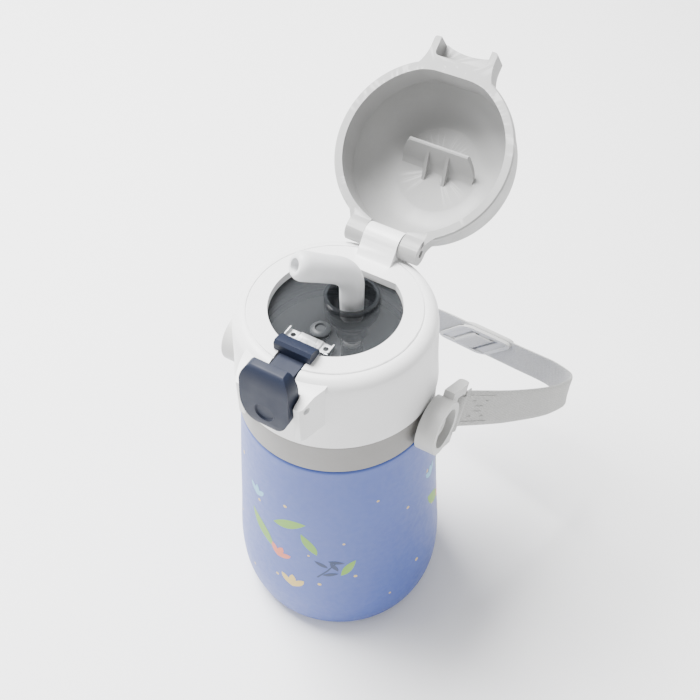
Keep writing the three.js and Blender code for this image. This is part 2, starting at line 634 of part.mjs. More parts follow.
const spout = new THREE.Group();
const spoutWay = new THREE.Vector3(
  -Math.sin(radians(SPOUT_TURN_DEG)) * Math.cos(radians(SPOUT_TILT_DEG)),
  -Math.cos(radians(SPOUT_TURN_DEG)) * Math.cos(radians(SPOUT_TILT_DEG)),
  Math.sin(radians(SPOUT_TILT_DEG)));
spout.position.set(SOCKET_X, SOCKET_Y, SPOUT_BEND_Z);
spout.quaternion.setFromUnitVectors(new THREE.Vector3(0, 0, 1), spoutWay);
cap.add(spout);
solidNode('spout_leg', spoutLeg(), silicone(), cap);
solidNode('spout_arm', spoutArm(), silicone(), spout);
solidNode('straw_tube', straw(), silicone(), cap);
solidNode('straw_sleeve', ring(STRAW_R + GAP, STEM_R - SOCKET_WALL - GAP, STEM_BOTTOM_Z - 5,
  STEM_BOTTOM_Z + 3, { x: SOCKET_X, y: SOCKET_Y, sides: SMALL }), darkSilicone(), cap);

// ---------------------------------------------------------------- the latch
function latchPad() {
  const side = crosswise(outline([
    [PAD_FRONT_Y + 0.9, PAD_BOTTOM_Z], [PAD_BACK_Y - 4.2, PAD_BOTTOM_Z + 0.6],
    [PAD_BACK_Y - 3.6, PAD_BOTTOM_Z + 6], [PAD_BACK_Y, PAD_BOTTOM_Z + 9], [PAD_BACK_Y, PAD_TOP_Z - 0.4],
    [PAD_BACK_Y - 0.4, PAD_TOP_Z], [PAD_BACK_Y - 3, PAD_TOP_Z - 0.2], [PAD_FRONT_Y + 1.5, PAD_TOP_Z - 3.4],
    [PAD_FRONT_Y + 0.3, PAD_TOP_Z - 12], [PAD_FRONT_Y, PAD_BOTTOM_Z + 4],
  ]), -PAD_HALF - 2, PAD_HALF + 2);
  const front = new THREE.Shape();
  front.moveTo(-PAD_HALF, PAD_TOP_Z - 7);
  front.absellipse(0, PAD_BOTTOM_Z + 11, PAD_HALF, 11, Math.PI, 2 * Math.PI);
  front.lineTo(PAD_HALF, PAD_TOP_Z - 7);
  front.lineTo(PAD_HALF - 1, PAD_TOP_Z - 3.4);
  front.lineTo(PAD_HALF - 3.6, PAD_TOP_Z + 1);
  front.lineTo(-PAD_HALF + 3.6, PAD_TOP_Z + 1);
  front.lineTo(-PAD_HALF + 1, PAD_TOP_Z - 3.4);
  front.closePath();
  return side.intersect(lengthwise(front, PAD_FRONT_Y - 2, PAD_BACK_Y + 2));
}

function latch() {
  const neckTop = CAP_TOP_Z - 0.4;
  const neck = block(-NECK_HALF, NECK_HALF, PAD_BACK_Y - 2, HOOK_FRONT_Y + 2, CAP_CEILING_Z + GAP, neckTop);
  const back = HOOK_FRONT_Y + HOOK_DEPTH;
  const riser = block(-NECK_HALF, NECK_HALF, HOOK_FRONT_Y, HOOK_FRONT_Y + 3, neckTop - 1, HOOK_Z + 1);
  const hook = crosswise(outline([
    [HOOK_FRONT_Y, HOOK_Z], [back - 1, HOOK_Z], [back, HOOK_Z + 1], [back - 0.6, HOOK_Z + 2.4],
    [back - 2.4, HOOK_Z + HOOK_HEIGHT - 0.3], [HOOK_FRONT_Y + 1, HOOK_Z + HOOK_HEIGHT],
    [HOOK_FRONT_Y, HOOK_Z + HOOK_HEIGHT - 1],
  ]), -HOOK_HALF, HOOK_HALF);
  const pinHole = rod(LATCH_PIN_R + GAP, -PAD_HALF - 3, PAD_HALF + 3, LATCH_PIN_Y, LATCH_PIN_Z);
  return cut(join(latchPad(), neck, riser, hook), pinHole);
}

// The little coil that pushes the pad's lower half out.
function latchSpring() {
  const from = PAD_BACK_Y + GAP;
  const to = PAD_BACK_Y - 3.6 - GAP;
  const geometry = alongCurve(
    new Helix(LATCH_COIL_R - LATCH_WIRE_R, from - to - 2 * LATCH_WIRE_R, 3), LATCH_WIRE_R, 27, 5);
  geometry.rotateX(Math.PI / 2);
  geometry.translate(0, (from + to) / 2, PAD_BOTTOM_Z + 4.2);
  return geometry;
}

solidNode('latch', latch(), navyPlastic(), cap);
solidNode('latch_pin', rod(LATCH_PIN_R, -HOUSING_HALF + 0.6, HOUSING_HALF - 0.6, LATCH_PIN_Y, LATCH_PIN_Z),
  steel(), cap);
node('latch_spring', latchSpring(), wire(), cap);

// ---------------------------------------------------------------- the lid, built closed, shown open
function lidDome() {
  const shoulder = (r, top, t) => [
    r * (1 - 0.52 * (1 - Math.cos(t))), top - (LID_HEIGHT * 0.46) * (1 - Math.sin(t))];
  const turns = [0.15, 0.35, 0.6, 0.85].map((t) => t * (Math.PI / 2));
  const outerR = LID_R - LID_RIM_STEP;
  const top = LID_Z + LID_HEIGHT;
  const outside = turns.map((t) => shoulder(outerR - 0.6, top, t));
  const inside = turns.map((t) => shoulder(LID_INNER_R - 0.4, top - LID_WALL, t)).reverse();
  return turned([
    [0, top - LID_WALL], ...inside, [LID_INNER_R, LID_Z], [LID_R, LID_Z], [LID_R, LID_Z + LID_RIM_HEIGHT],
    [outerR, LID_Z + LID_RIM_HEIGHT + 0.6], ...outside, [0, top],
  ]);
}

// The thick front wall whose inner face is the flat that the hook sits behind.
function lidFlatWall() {
  const cavity = disc(LID_R - LID_RIM_STEP - 1, LID_Z, LID_Z + LID_HEIGHT * 0.5);
  const slab = block(-LID_R, LID_R, -LID_R, LID_FLAT_Y, LID_Z, LID_Z + LID_HEIGHT * 0.5);
  return slab.intersect(cavity);
}

function lidTab() {
  const shape = new THREE.Shape();
  const neckY = -(LID_R - 2.6);
  shape.moveTo(-TAB_HALF - 3, neckY + 3);
  shape.quadraticCurveTo(-TAB_HALF, neckY - 1.4, -TAB_HALF, -TAB_REACH + 1.2);
  shape.lineTo(-TAB_HALF + 1.2, -TAB_REACH);
  shape.lineTo(TAB_HALF - 1.2, -TAB_REACH);
  shape.lineTo(TAB_HALF, -TAB_REACH + 1.2);
  shape.quadraticCurveTo(TAB_HALF, neckY - 1.4, TAB_HALF + 3, neckY + 3);
  shape.closePath();
  return raised(shape, LID_Z, LID_Z + TAB_HEIGHT, 5);
}

function lidLugs() {
  const half = BARREL_WIDTH / 2 + GAP;
  return [-1, 1].map((side) => {
    const near = side * half;
    const far = side * (half + LUG_WIDTH);
    const lug = rod(BARREL_R, Math.min(near, far), Math.max(near, far), HINGE_Y, HINGE_Z, 24);
    const shape = new THREE.Shape();
    shape.moveTo(near, HINGE_Y);
    shape.lineTo(far, HINGE_Y);
    shape.quadraticCurveTo(far + side, HINGE_Y - 6, side * LID_R * 0.72, LID_R * 0.66);
    shape.lineTo(near, LID_R * 0.8);
    shape.closePath();
    return join(lug, raised(shape, LID_Z, HINGE_Z + BARREL_R * 0.86, 6));
  });
}

function lidLedge() {
  const top = LID_Z + LID_HEIGHT - LID_WALL / 2;
  const low = top - LEDGE_DROP;
  const plate = crosswise(outline([
    [LEDGE_Y, low], [LEDGE_Y + LEDGE_WALL, low], [LEDGE_Y + LEDGE_WALL + 3, top], [LEDGE_Y + 1.6, top],
  ]), -LEDGE_HALF, LEDGE_HALF);
  const gusset = outline([[LEDGE_Y + 1, low + 1], [LEDGE_Y + 9, top], [LEDGE_Y + 1, top]]);
  const gussets = [-GUSSET_X, GUSSET_X].map((x) => crosswise(gusset, x - 0.6, x + 0.6));
  return join(plate, ...gussets);
}

function lidShell() {
  const half = BARREL_WIDTH / 2 + GAP;
  const bowl = join(lidDome(), lidFlatWall(), lidTab(), ...lidLugs());
  const cavity = disc(LID_INNER_R - 0.4, LID_Z - 1, LID_Z + LID_HEIGHT * 0.5)
    .intersect(block(-LID_R, LID_R, LID_FLAT_Y, LID_R, LID_Z - 1, LID_Z + LID_HEIGHT));
  const pocket = block(-PAD_HALF - 0.5, PAD_HALF + 0.5, -TAB_REACH - 2, PAD_BACK_Y + 1.4,
    LID_Z - 1, LID_Z + TAB_HEIGHT - TAB_SKIN);
  const notchR = 26;
  const notch = disc(notchR, LID_Z + TAB_HEIGHT - TAB_SKIN - 1, LID_Z + TAB_HEIGHT + 1,
    { y: -TAB_REACH - notchR + TAB_NOTCH, sides: 48 }).intersect(
    block(-PAD_HALF - 0.5, PAD_HALF + 0.5, -60, 0, LID_Z, LID_Z + TAB_HEIGHT + 2));
  const barrelRoom = join(
    rod(BARREL_R + 0.6, -half, half, HINGE_Y, HINGE_Z, 24),
    block(-half, half, HINGE_Y - 11, HINGE_Y + 8, LID_Z - 1, HINGE_Z + BARREL_R * 0.6),
    block(-half, half, HINGE_Y, HINGE_Y + 8, LID_Z - 1, HINGE_Z + BARREL_R + 2));
  const pinHole = rod(HINGE_PIN_R + GAP, -half - LUG_WIDTH - 1, half + LUG_WIDTH + 1, HINGE_Y, HINGE_Z);
  const capRoom = disc(CAP_R + 4, CAP_TOP_Z - 20, LID_Z).intersect(
    block(-60, 60, -60, HINGE_Y - 7, CAP_TOP_Z - 20, LID_Z));
  const pressed = cut(bowl, cavity, pocket, notch, barrelRoom, pinHole, capRoom);
  return join(pressed, lidLedge().intersect(disc(LID_INNER_R - 1, LID_Z, LID_Z + LID_HEIGHT - 0.6)));
}

// The hinge's coil, between the barrel's well and the right lug.
function lidSpring() {
  const geometry = alongCurve(new Helix(HINGE_COIL_R, HINGE_COIL_LENGTH, 4), HINGE_WIRE_R, 36, 5);
  geometry.rotateY(Math.PI / 2);
  geometry.translate(BARREL_WIDTH / 2 - HINGE_COIL_LENGTH / 2 - HINGE_WIRE_R - 0.2, 0, 0);
  return geometry;
}

const lid = new THREE.Group();
lid.position.set(0, HINGE_Y, HINGE_Z);
lid.rotation.x = radians(-LID_OPEN_DEG);
cap.add(lid);
const lidGeometry = toGeometry(lidShell());
lidGeometry.translate(0, -HINGE_Y, -HINGE_Z);
node('lid_shell', lidGeometry, lidPlastic(), lid);
const pinHalf = BARREL_WIDTH / 2 + GAP + LUG_WIDTH - 0.6;
solidNode('lid_pin', rod(HINGE_PIN_R, -pinHalf, pinHalf, 0, 0), steel(), lid);
const springSeat = new THREE.Group();
springSeat.position.set(0, HINGE_Y, HINGE_Z);
cap.add(springSeat);
node('lid_spring', lidSpring(), wire(), springSeat);

// ---------------------------------------------------------------- the strap
// A clip lies in its own frame: its disc is centred on the stud's axis and its arms point along +Y.
function clip() {
  const far = CLIP_X + CLIP_DEPTH;
  const solid = rod(CLIP_R, CLIP_X, far, 0, 0, 24);
  const recess = rod(CLIP_R - 2.6, CLIP_X + CLIP_HUB, far + 1, 0, 0, 24);
  const hole = rod(STUD_R - 1 + GAP, CLIP_X - 1, far + 1, 0, 0);
  const half = STRAP_WIDTH / 2 + 1;
  const middle = (CLIP_X + far) / 2;
  const arms = [-1, 1].map((side) => {
    const z = side * (half + CLIP_ARM / 2);
    return block(middle - 2, middle + 2, 3, CLIP_BAR_OUT + 2, z - CLIP_ARM / 2, z + CLIP_ARM / 2);
  });
  const bar = new THREE.CylinderGeometry(CLIP_BAR_R, CLIP_BAR_R, 2 * (half + CLIP_ARM), SMALL);
  bar.rotateX(Math.PI / 2);
  bar.translate(middle, CLIP_BAR_OUT, 0);
  const bridge = block(middle - 2, middle + 2, 4, 9, -half - 1, half + 1);
  return cut(join(solid, ...arms, toSolid(bar), bridge), recess, hole);
}

// The webbing's loop, in the frame of the right stud's axis: [x, y, z] down its middle.
const CLIP_MIDDLE_X = CLIP_X + CLIP_DEPTH / 2;
const STRAP_HALF_LOOP = [
  [54.3, 42, -26.5], [64.5, 62, -37], [66, 74, -42.5], [57, 81.5, -46.5], [38, 86, -50], [18, 88.9, -52],
];

function strapPoints() {
  const drop = radians(STRAP_DROP_DEG);
  const start = CLIP_BAR_OUT + CLIP_BAR_R + GAP + STRAP_THICK / 2;
  const first = [CLIP_MIDDLE_X, start * Math.cos(drop), -start * Math.sin(drop)];
  const right = [first, ...STRAP_HALF_LOOP];
  const left = right.map(([x, y, z]) => [-x, y, z]).reverse();
  return [...right, [0, 91.2, -53.4], ...left].map(([x, y, z]) => new THREE.Vector3(x, y, z + STUD_Z));
}

// A flat band: a thin rectangle carried along the curve. Its width leans back at the clips, with them,
// and stands upright round the back.
function strapBand() {
  const curve = new THREE.CatmullRomCurve3(strapPoints(), false, 'centripetal');
  const steps = 44;
  const positions = [];
  const index = [];
  for (let i = 0; i <= steps; i += 1) {
    const t = i / steps;
    const centre = curve.getPointAt(t);
    const along = curve.getTangentAt(t);
    const nearClip = Math.max(0, 1 - 3.2 * Math.min(t, 1 - t));
    const lean = radians(STRAP_DROP_DEG) * nearClip;
    const across = new THREE.Vector3(0, Math.sin(lean), Math.cos(lean));
    across.addScaledVector(along, -across.dot(along)).normalize();
    const out = new THREE.Vector3().crossVectors(along, across);
    for (const [w, h] of [[-1, -1], [1, -1], [1, 1], [-1, 1]]) {
      const corner = centre.clone()
        .addScaledVector(across, (w * STRAP_WIDTH) / 2)
        .addScaledVector(out, (h * STRAP_THICK) / 2);
      positions.push(corner.x, corner.y, corner.z);
    }
  }
  bandFaces(index, steps);
  const geometry = new THREE.BufferGeometry();
  geometry.setAttribute('position', new THREE.Float32BufferAttribute(positions, 3));
  geometry.setIndex(index);
  return { geometry, curve };
}

// The slider: a rounded frame with a slot on each side of its middle bar, standing round the webbing.
function buckle() {
  const frame = roundedRectangle(BUCKLE_LENGTH / 2, BUCKLE_WIDTH / 2, 5);
  const plate = lengthwise(frame, -BUCKLE_DEPTH / 2, BUCKLE_DEPTH / 2);
  const half = STRAP_WIDTH / 2 + 0.8;
  const slotHalf = BUCKLE_BAR / 2;
  const slots = [-1, 1].map((side) => {
    const near = side * slotHalf;
    const far = side * (slotHalf + 4.2);
    return block(Math.min(near, far), Math.max(near, far), -10, 10, -half, half);
  });
  const passage = block(-BUCKLE_LENGTH, BUCKLE_LENGTH, -STRAP_THICK - GAP, STRAP_THICK + GAP, -half, half);
  return cut(plate, ...slots, passage);
}

const strap = new THREE.Group();
bottle.add(strap);
for (const [name, side] of [['clip_right', 1], ['clip_left', -1]]) {
  const holder = new THREE.Group();
  holder.position.set(0, 0, STUD_Z);
  holder.rotation.x = radians(-STRAP_DROP_DEG);
  const turn = new THREE.Group();
  turn.rotation.y = side > 0 ? 0 : Math.PI;
  holder.add(turn);
  strap.add(holder);
  solidNode(name, clip(), clipPlastic(), turn);
}
const band = strapBand();
node('strap_webbing', band.geometry, webbing(), strap);

// The slider stands where the webbing passes BUCKLE_X, square to it.
function placeBuckle(curve) {
  let best = 0;
  for (let i = 0; i <= 400; i += 1) {
    const t = 0.2 + (0.3 * i) / 400;
    if (Math.abs(curve.getPointAt(t).x - BUCKLE_X) < Math.abs(curve.getPointAt(best).x - BUCKLE_X)) {
      best = t;
    }
  }
  const along = curve.getTangentAt(best);
  const holder = new THREE.Group();
  const up = new THREE.Vector3(0, 0, 1).addScaledVector(along, -along.z).normalize();
  const out = new THREE.Vector3().crossVectors(up, along);
  holder.applyMatrix4(new THREE.Matrix4().makeBasis(along, out, up));
  holder.position.copy(curve.getPointAt(best));
  return holder;
}

const buckleHolder = placeBuckle(band.curve);
strap.add(buckleHolder);
solidNode('strap_buckle', buckle(), clipPlastic(), buckleHolder);

bottle.updateMatrixWorld(true);
export default bottle;
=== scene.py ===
"""A child's insulated drinking bottle with a flip lid, a folding spout, a push latch and a carry strap.

Each piece is made by its own operator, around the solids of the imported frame. Lengths inside the makers
are millimetres; meshes and properties are metres. +Z is up, the latch faces -Y and the lid hinges at +Y.
"""

import math

import bmesh
import bpy
from mathutils import Matrix, Vector


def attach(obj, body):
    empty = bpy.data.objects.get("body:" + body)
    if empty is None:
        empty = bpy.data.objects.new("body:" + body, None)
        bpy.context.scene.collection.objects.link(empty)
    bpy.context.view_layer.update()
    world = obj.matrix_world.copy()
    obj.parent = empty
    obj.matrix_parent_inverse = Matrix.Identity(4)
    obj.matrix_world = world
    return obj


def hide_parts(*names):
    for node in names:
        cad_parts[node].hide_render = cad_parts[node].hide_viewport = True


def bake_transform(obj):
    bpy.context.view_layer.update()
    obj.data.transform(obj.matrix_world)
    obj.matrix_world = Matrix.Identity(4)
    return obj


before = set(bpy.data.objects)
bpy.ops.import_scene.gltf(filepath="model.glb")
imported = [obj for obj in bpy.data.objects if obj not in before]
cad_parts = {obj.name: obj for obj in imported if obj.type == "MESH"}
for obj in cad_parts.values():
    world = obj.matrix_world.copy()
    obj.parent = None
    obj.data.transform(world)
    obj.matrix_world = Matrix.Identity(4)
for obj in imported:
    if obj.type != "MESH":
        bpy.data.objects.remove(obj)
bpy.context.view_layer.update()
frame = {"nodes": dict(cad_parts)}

bl_info = {
    "name": "Insulated child's bottle",
    "version": (1, 0, 0),
    "blender": (4, 5, 0),
    "location": "3D View > Sidebar > Bottle",
    "description": "Builds a drinking bottle with a flip lid and a carry strap, piece by piece",
    "category": "Add Mesh",
}

MM = 0.001

# Sizes and places that the pieces share, in millimetres, and angles in radians.
BODY_TOP = 108.2
BELLY_Z = 22
SHELL_WALL = 0.9
COLLAR_Z, COLLAR_TOP = 108.5, 122.5
COLLAR_R = 35.7
CAP_Z, CAP_TOP = 122.8, 153.6
CAP_R, CAP_INNER = 34.8, 33.2
CEILING = 150.6
NECK_R, NECK_TOP = 31.5, 134.2
THREAD_RISE, THREAD_TURNS, THREAD_BEAD = 4.8, 1.2, 0.8
LINER_R, BORE_R = 30.3, 29.6
PLUG_R, PLUG_Z = 28.1, 132.3
INSERT_TOP = 150.3
WINDOW_R, WINDOW_CHORD = 22.6, 19.0
SOCKET = (1.2, 8.6)
SOCKET_FLOOR = 141.3
BEND_Z = 162.5
STUD_Z = 115.5
HINGE_Y, HINGE_Z = 33.4, 156.5
BARREL_R, BARREL_HALF, LUG_WIDTH = 4.8, 6.7, 7.0
LID_Z, LID_R, LID_INNER, LID_HEIGHT = 154.4, 32.2, 29.5, 26.0
LID_FLAT_Y = -27.6
LID_OPEN = math.radians(-141)
PIN_Y, PIN_Z = -38.7, 148.0
PAD_HALF, PAD_FRONT, PAD_BACK = 9.1, -43.4, -36.8
PAD_LOW, PAD_TOP = 135.6, 160.8
STRAP_DROP = math.radians(-30)
CLIP_X, CLIP_DEPTH = 36.9, 7.0
CLIP_MIDDLE = CLIP_X + CLIP_DEPTH / 2
BAR_Y, BAR_R = 17, 2.0
STRAP_WIDTH, STRAP_THICK = 15.0, 1.6
BUCKLE_X = 18.0

# The webbing's map: the metres that one unit of it covers each way, and the yarns in one unit.
BAND_LENGTH, BAND_WIDTH = 0.283, 0.015
WARP_YARNS, WEFT_YARNS = 15, 118

SHARP = math.radians(50)
UPRIGHT = Vector((0, 0, 1))


# ------------------------------------------------------------------ outlines
def arc(cx, cy, r, start, end, count):
    """Points round a centre, from one angle to another, in degrees."""
    turns = [math.radians(start + (end - start) * i / count) for i in range(count + 1)]
    return [(cx + r * math.cos(t), cy + r * math.sin(t)) for t in turns]


def bow(p0, p1, p2, count):
    """A quadratic curve from p0 to p2, pulled towards p1."""
    ts = [i / count for i in range(count + 1)]
    return [
        tuple((1 - t) ** 2 * a + 2 * t * (1 - t) * b + t * t * c for a, b, c in zip(p0, p1, p2))
        for t in ts
    ]


def spline(points, per):
    """A centripetal Catmull-Rom curve through the points, with per steps in each stretch."""
    pts = [Vector(p) for p in points]
    pts = [2 * pts[0] - pts[1], *pts, 2 * pts[-1] - pts[-2]]
    out = []
    for i in range(1, len(pts) - 2):
        p0, p1, p2, p3 = pts[i - 1 : i + 3]
        d1, d2, d3 = (
            math.sqrt(max((b - a).length, 1e-9)) for a, b in ((p0, p1), (p1, p2), (p2, p3))
        )
        m1 = ((p1 - p0) / d1 - (p2 - p0) / (d1 + d2) + (p2 - p1) / d2) * d2
        m2 = ((p2 - p1) / d2 - (p3 - p1) / (d2 + d3) + (p3 - p2) / d3) * d2
        for k in range(per):
            t = k / per
            out.append(
                (2 * t**3 - 3 * t**2 + 1) * p1 + (t**3 - 2 * t**2 + t) * m1
                + (3 * t**2 - 2 * t**3) * p2 + (t**3 - t**2) * m2
            )
    return [*out, pts[-2]]


def rounded_box(half_w, half_h, r, count=6):
    """A box outline round the origin with rounded corners."""
    return [
        *arc(half_w - r, -half_h + r, r, -90, 0, count), *arc(half_w - r, half_h - r, r, 0, 90, count),
        *arc(-half_w + r, half_h - r, r, 90, 180, count), *arc(-half_w + r, -half_h + r, r, 180, 270, count),
    ]


# ------------------------------------------------------------------ solids
def mesh_object(name, verts, faces):
    """A new object from vertices in millimetres, with its faces turned outwards."""
    mesh = bpy.data.meshes.new(name)
    mesh.from_pydata([[c * MM for c in v] for v in verts], [], faces)
    bm = bmesh.new()
    bm.from_mesh(mesh)
    bmesh.ops.remove_doubles(bm, verts=bm.verts, dist=1e-7)
    bmesh.ops.recalc_face_normals(bm, faces=bm.faces)
    bm.to_mesh(mesh)
    bm.free()
    obj = bpy.data.objects.new(name, mesh)
    bpy.context.scene.collection.objects.link(obj)
    return obj


def turned(name, profile, x=0.0, y=0.0, sides=144):
    """A profile of (radius, height) points turned round an upright axis.

    It starts and ends on the axis, or it closes on itself.
    """
    rings, verts, faces = [], [], []
    for r, z in profile:
        if r < 1e-6:
            rings.append([len(verts)])
            verts.append((x, y, z))
        else:
            rings.append(list(range(len(verts), len(verts) + sides)))
            verts += [
                (x + r * math.cos(2 * math.pi * k / sides), y + r * math.sin(2 * math.pi * k / sides), z)
                for k in range(sides)
            ]
    closed = profile[0][0] > 1e-6
    pairs = list(zip(rings, rings[1:] + rings[:1])) if closed else list(zip(rings, rings[1:]))
    for a, b in pairs:
        for k in range(sides):
            n = (k + 1) % sides
            if len(a) == 1 and len(b) > 1:
                faces.append((a[0], b[n], b[k]))
            elif len(b) == 1 and len(a) > 1:
                faces.append((a[k], a[n], b[0]))
            elif len(a) > 1:
                faces.append((a[k], a[n], b[n], b[k]))
    return mesh_object(name, verts, faces)


def prism(name, outline, axis, low, high):
    """An outline pushed along X (y, z points), Y (x, z points) or Z (x, y points)."""
    place = {
        "X": lambda a, b, t: (t, a, b), "Y": lambda a, b, t: (a, t, b), "Z": lambda a, b, t: (a, b, t)
    }[axis]
    n = len(outline)
    verts = [place(a, b, t) for t in (low, high) for a, b in outline]
    sides = [(k, (k + 1) % n, n + (k + 1) % n, n + k) for k in range(n)]
    return mesh_object(name, verts, [tuple(range(n)), tuple(range(2 * n - 1, n - 1, -1)), *sides])


def rod(name, r, low, high, a, b, axis="X", sides=48):
    """A round bar along an axis, through (a, b) of the other two."""
    return prism(name, arc(a, b, r, 0, 360 - 360 / sides, sides - 1), axis, low, high)


def block(name, x0, x1, y0, y1, z0, z1):
    return prism(name, [(x0, y0), (x1, y0), (x1, y1), (x0, y1)], "Z", z0, z1)


def swept(name, path, section, ups=None):
    """A closed section of (across, out) points carried along a path, with flat ends."""
    verts, faces, n = [], [], len(section(0.0))
    normal = None
    for i, p in enumerate(path):
        along = (path[min(i + 1, len(path) - 1)] - path[max(i - 1, 0)]).normalized()
        if ups:
            across = (ups[i] - along * ups[i].dot(along)).normalized()
        else:
            seed = normal or along.orthogonal()
            across = (seed - along * seed.dot(along)).normalized()
            normal = across
        out = along.cross(across)
        for a, b in section(i / (len(path) - 1)):
            verts.append(tuple(p + across * a + out * b))
    for i in range(len(path) - 1):
        for k in range(n):
            a, b = i * n + k, i * n + (k + 1) % n
            faces.append((a, b, b + n, a + n))
    last = (len(path) - 1) * n
    faces += [tuple(range(n - 1, -1, -1)), tuple(range(last, last + n))]
    return mesh_object(name, verts, faces)


def circle(r, count=20):
    return arc(0, 0, r, 0, 360 - 360 / count, count - 1)


def evaluated(obj):
    """Replaces an object's mesh with the result of its modifiers, and removes them."""
    bpy.context.view_layer.update()
    made = bpy.data.meshes.new_from_object(obj.evaluated_get(bpy.context.evaluated_depsgraph_get()))
    obj.modifiers.clear()
    obj.data = made
    return obj


def combined(obj, others, operation):
    """Joins others to obj, or cuts them from it, and removes them."""
    for other in others:
        tool = obj.modifiers.new("Boolean", "BOOLEAN")
        tool.operation, tool.object, tool.solver = operation, other, "EXACT"
        evaluated(obj)
        bpy.data.objects.remove(other)
    return obj


def joined(obj, *others):
    return combined(obj, others, "UNION")


def cut(obj, *others):
    return combined(obj, others, "DIFFERENCE")


def shared(obj, other):
    return combined(obj, [other], "INTERSECT")


def turn_mesh(obj, matrix):
    obj.data.transform(matrix)
    return obj


def moved(obj, x, y, z, turn=None):
    """Turns a piece about the origin, then moves it by millimetres."""
    place = Matrix.Translation((x * MM, y * MM, z * MM))
    return turn_mesh(obj, place @ turn if turn else place)


def about_x(angle, y, z):
    """A turn about an axis along X through (y, z) in millimetres."""
    centre = Vector((0, y * MM, z * MM))
    return Matrix.Translation(centre) @ Matrix.Rotation(angle, 4, "X") @ Matrix.Translation(-centre)


def dressed(obj, finish, edge=0.35, angle=32):
    """Gives a piece its rounded edges, smooth shading and material."""
    if edge:
        bevel = obj.modifiers.new("Edges", "BEVEL")
        bevel.width, bevel.segments = edge * MM, 3
        bevel.limit_method, bevel.angle_limit = "ANGLE", math.radians(angle)
        bevel.miter_outer = "MITER_ARC"
        evaluated(obj)
    obj.data.materials.clear()
    obj.data.materials.append(finish)
    obj.data.shade_smooth()
    obj.data.set_sharp_from_angle(angle=SHARP)
    if edge:
        weighted = obj.modifiers.new("Normals", "WEIGHTED_NORMAL")
        weighted.keep_sharp, weighted.weight = True, 80
        evaluated(obj)
    return obj


def placed(obj, body, nodes=()):
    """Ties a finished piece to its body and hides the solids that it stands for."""
    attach(obj, body)
    if nodes:
        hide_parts(*nodes)
    return obj


# ------------------------------------------------------------------ node trees for materials
class Shade:
    """A small helper that adds shader nodes and links them."""

    def __init__(self, name):
        self.material = bpy.data.materials.new(name)
        self.material.use_nodes = True
        self.tree = self.material.node_tree
        self.shader = self.tree.nodes["Principled BSDF"]
        self.object = self.tree.nodes.new("ShaderNodeTexCoord").outputs["Object"]

    def add(self, kind, inputs=None, **values):
        node = self.tree.nodes.new(kind)
        for key, value in values.items():
            setattr(node, key, value)
        for key, value in (inputs or {}).items():
            if isinstance(value, bpy.types.NodeSocket):
                self.tree.links.new(value, node.inputs[key])
            else:
                node.inputs[key].default_value = value
        return node

    def noise(self, scale, detail=3.0, stretch=None, roughness=0.5):
        source = self.object
        if stretch:
            source = self.add("ShaderNodeMapping", {"Vector": source, "Scale": stretch}).outputs["Vector"]
        return self.add(
            "ShaderNodeTexNoise",
            {"Vector": source, "Scale": scale, "Detail": detail, "Roughness": roughness},
        ).outputs["Fac"]

    def blend(self, factor, a, b):
        node = self.add("ShaderNodeMix", {0: factor}, data_type="RGBA")
        for index, value in ((6, a), (7, b)):
            if isinstance(value, bpy.types.NodeSocket):
                self.tree.links.new(value, node.inputs[index])
            else:
                node.inputs[index].default_value = value
        return node.outputs[2]

    def ramp(self, value, low, high, to_low=0.0, to_high=1.0):
        return self.add(
            "ShaderNodeMapRange",
            {"Value": value, "From Min": low, "From Max": high, "To Min": to_low, "To Max": to_high},
        ).outputs["Result"]

    def set(self, **values):
        for key, value in values.items():
            socket = self.shader.inputs[key.replace("_", " ")]
            if isinstance(value, bpy.types.NodeSocket):
                self.tree.links.new(value, socket)
            else:
                socket.default_value = value
        return self

    def bump(self, height, strength, distance):
        node = self.add(
            "ShaderNodeBump", {"Height": height, "Strength": strength, "Distance": distance}
        )
        self.tree.links.new(node.outputs["Normal"], self.shader.inputs["Normal"])
        return self


def tint(colour, factor):
    return (*[min(1.0, c * factor) for c in colour[:3]], 1.0)


def moulded(name, colour, roughness=0.42, grain=0.25, grain_scale=2600.0, shine=0.5):
    """Injection-moulded plastic: a fine spark-eroded grain, faint flow marks and uneven polish."""
    s = Shade(name)
    flow = s.ramp(s.noise(55.0, 2.0), 0.35, 0.65)
    dust = s.ramp(s.noise(900.0, 2.0), 0.4, 0.75)
    base = s.blend(flow, tint(colour, 0.975), tint(colour, 1.02))
    s.set(Base_Color=s.blend(dust, base, tint(colour, 0.985)))
    s.set(Roughness=s.ramp(s.noise(140.0, 3.0), 0.3, 0.7, roughness - 0.05, roughness + 0.06))
    s.set(IOR=1.5, Specular_IOR_Level=shine, Subsurface_Weight=0.04, Subsurface_Radius=(0.002, 0.002, 0.002))
    return s.bump(s.noise(grain_scale, 2.0), grain, 0.00004).material


def powder_coat(name, colour):
    """Satin powder coat on steel: a fine orange peel and a slight shift of tone."""
    s = Shade(name)
    tone = s.ramp(s.noise(28.0, 2.0), 0.35, 0.65)
    fleck = s.ramp(s.noise(3400.0, 1.0), 0.55, 0.8)
    base = s.blend(tone, tint(colour, 0.97), tint(colour, 1.025))
    s.set(Base_Color=s.blend(fleck, base, tint(colour, 1.09)))
    s.set(Roughness=s.ramp(s.noise(420.0, 2.0), 0.3, 0.7, 0.42, 0.52))
    s.set(Coat_Weight=0.12, Coat_Roughness=0.35)
    return s.bump(s.noise(1500.0, 3.0), 0.22, 0.00005).material


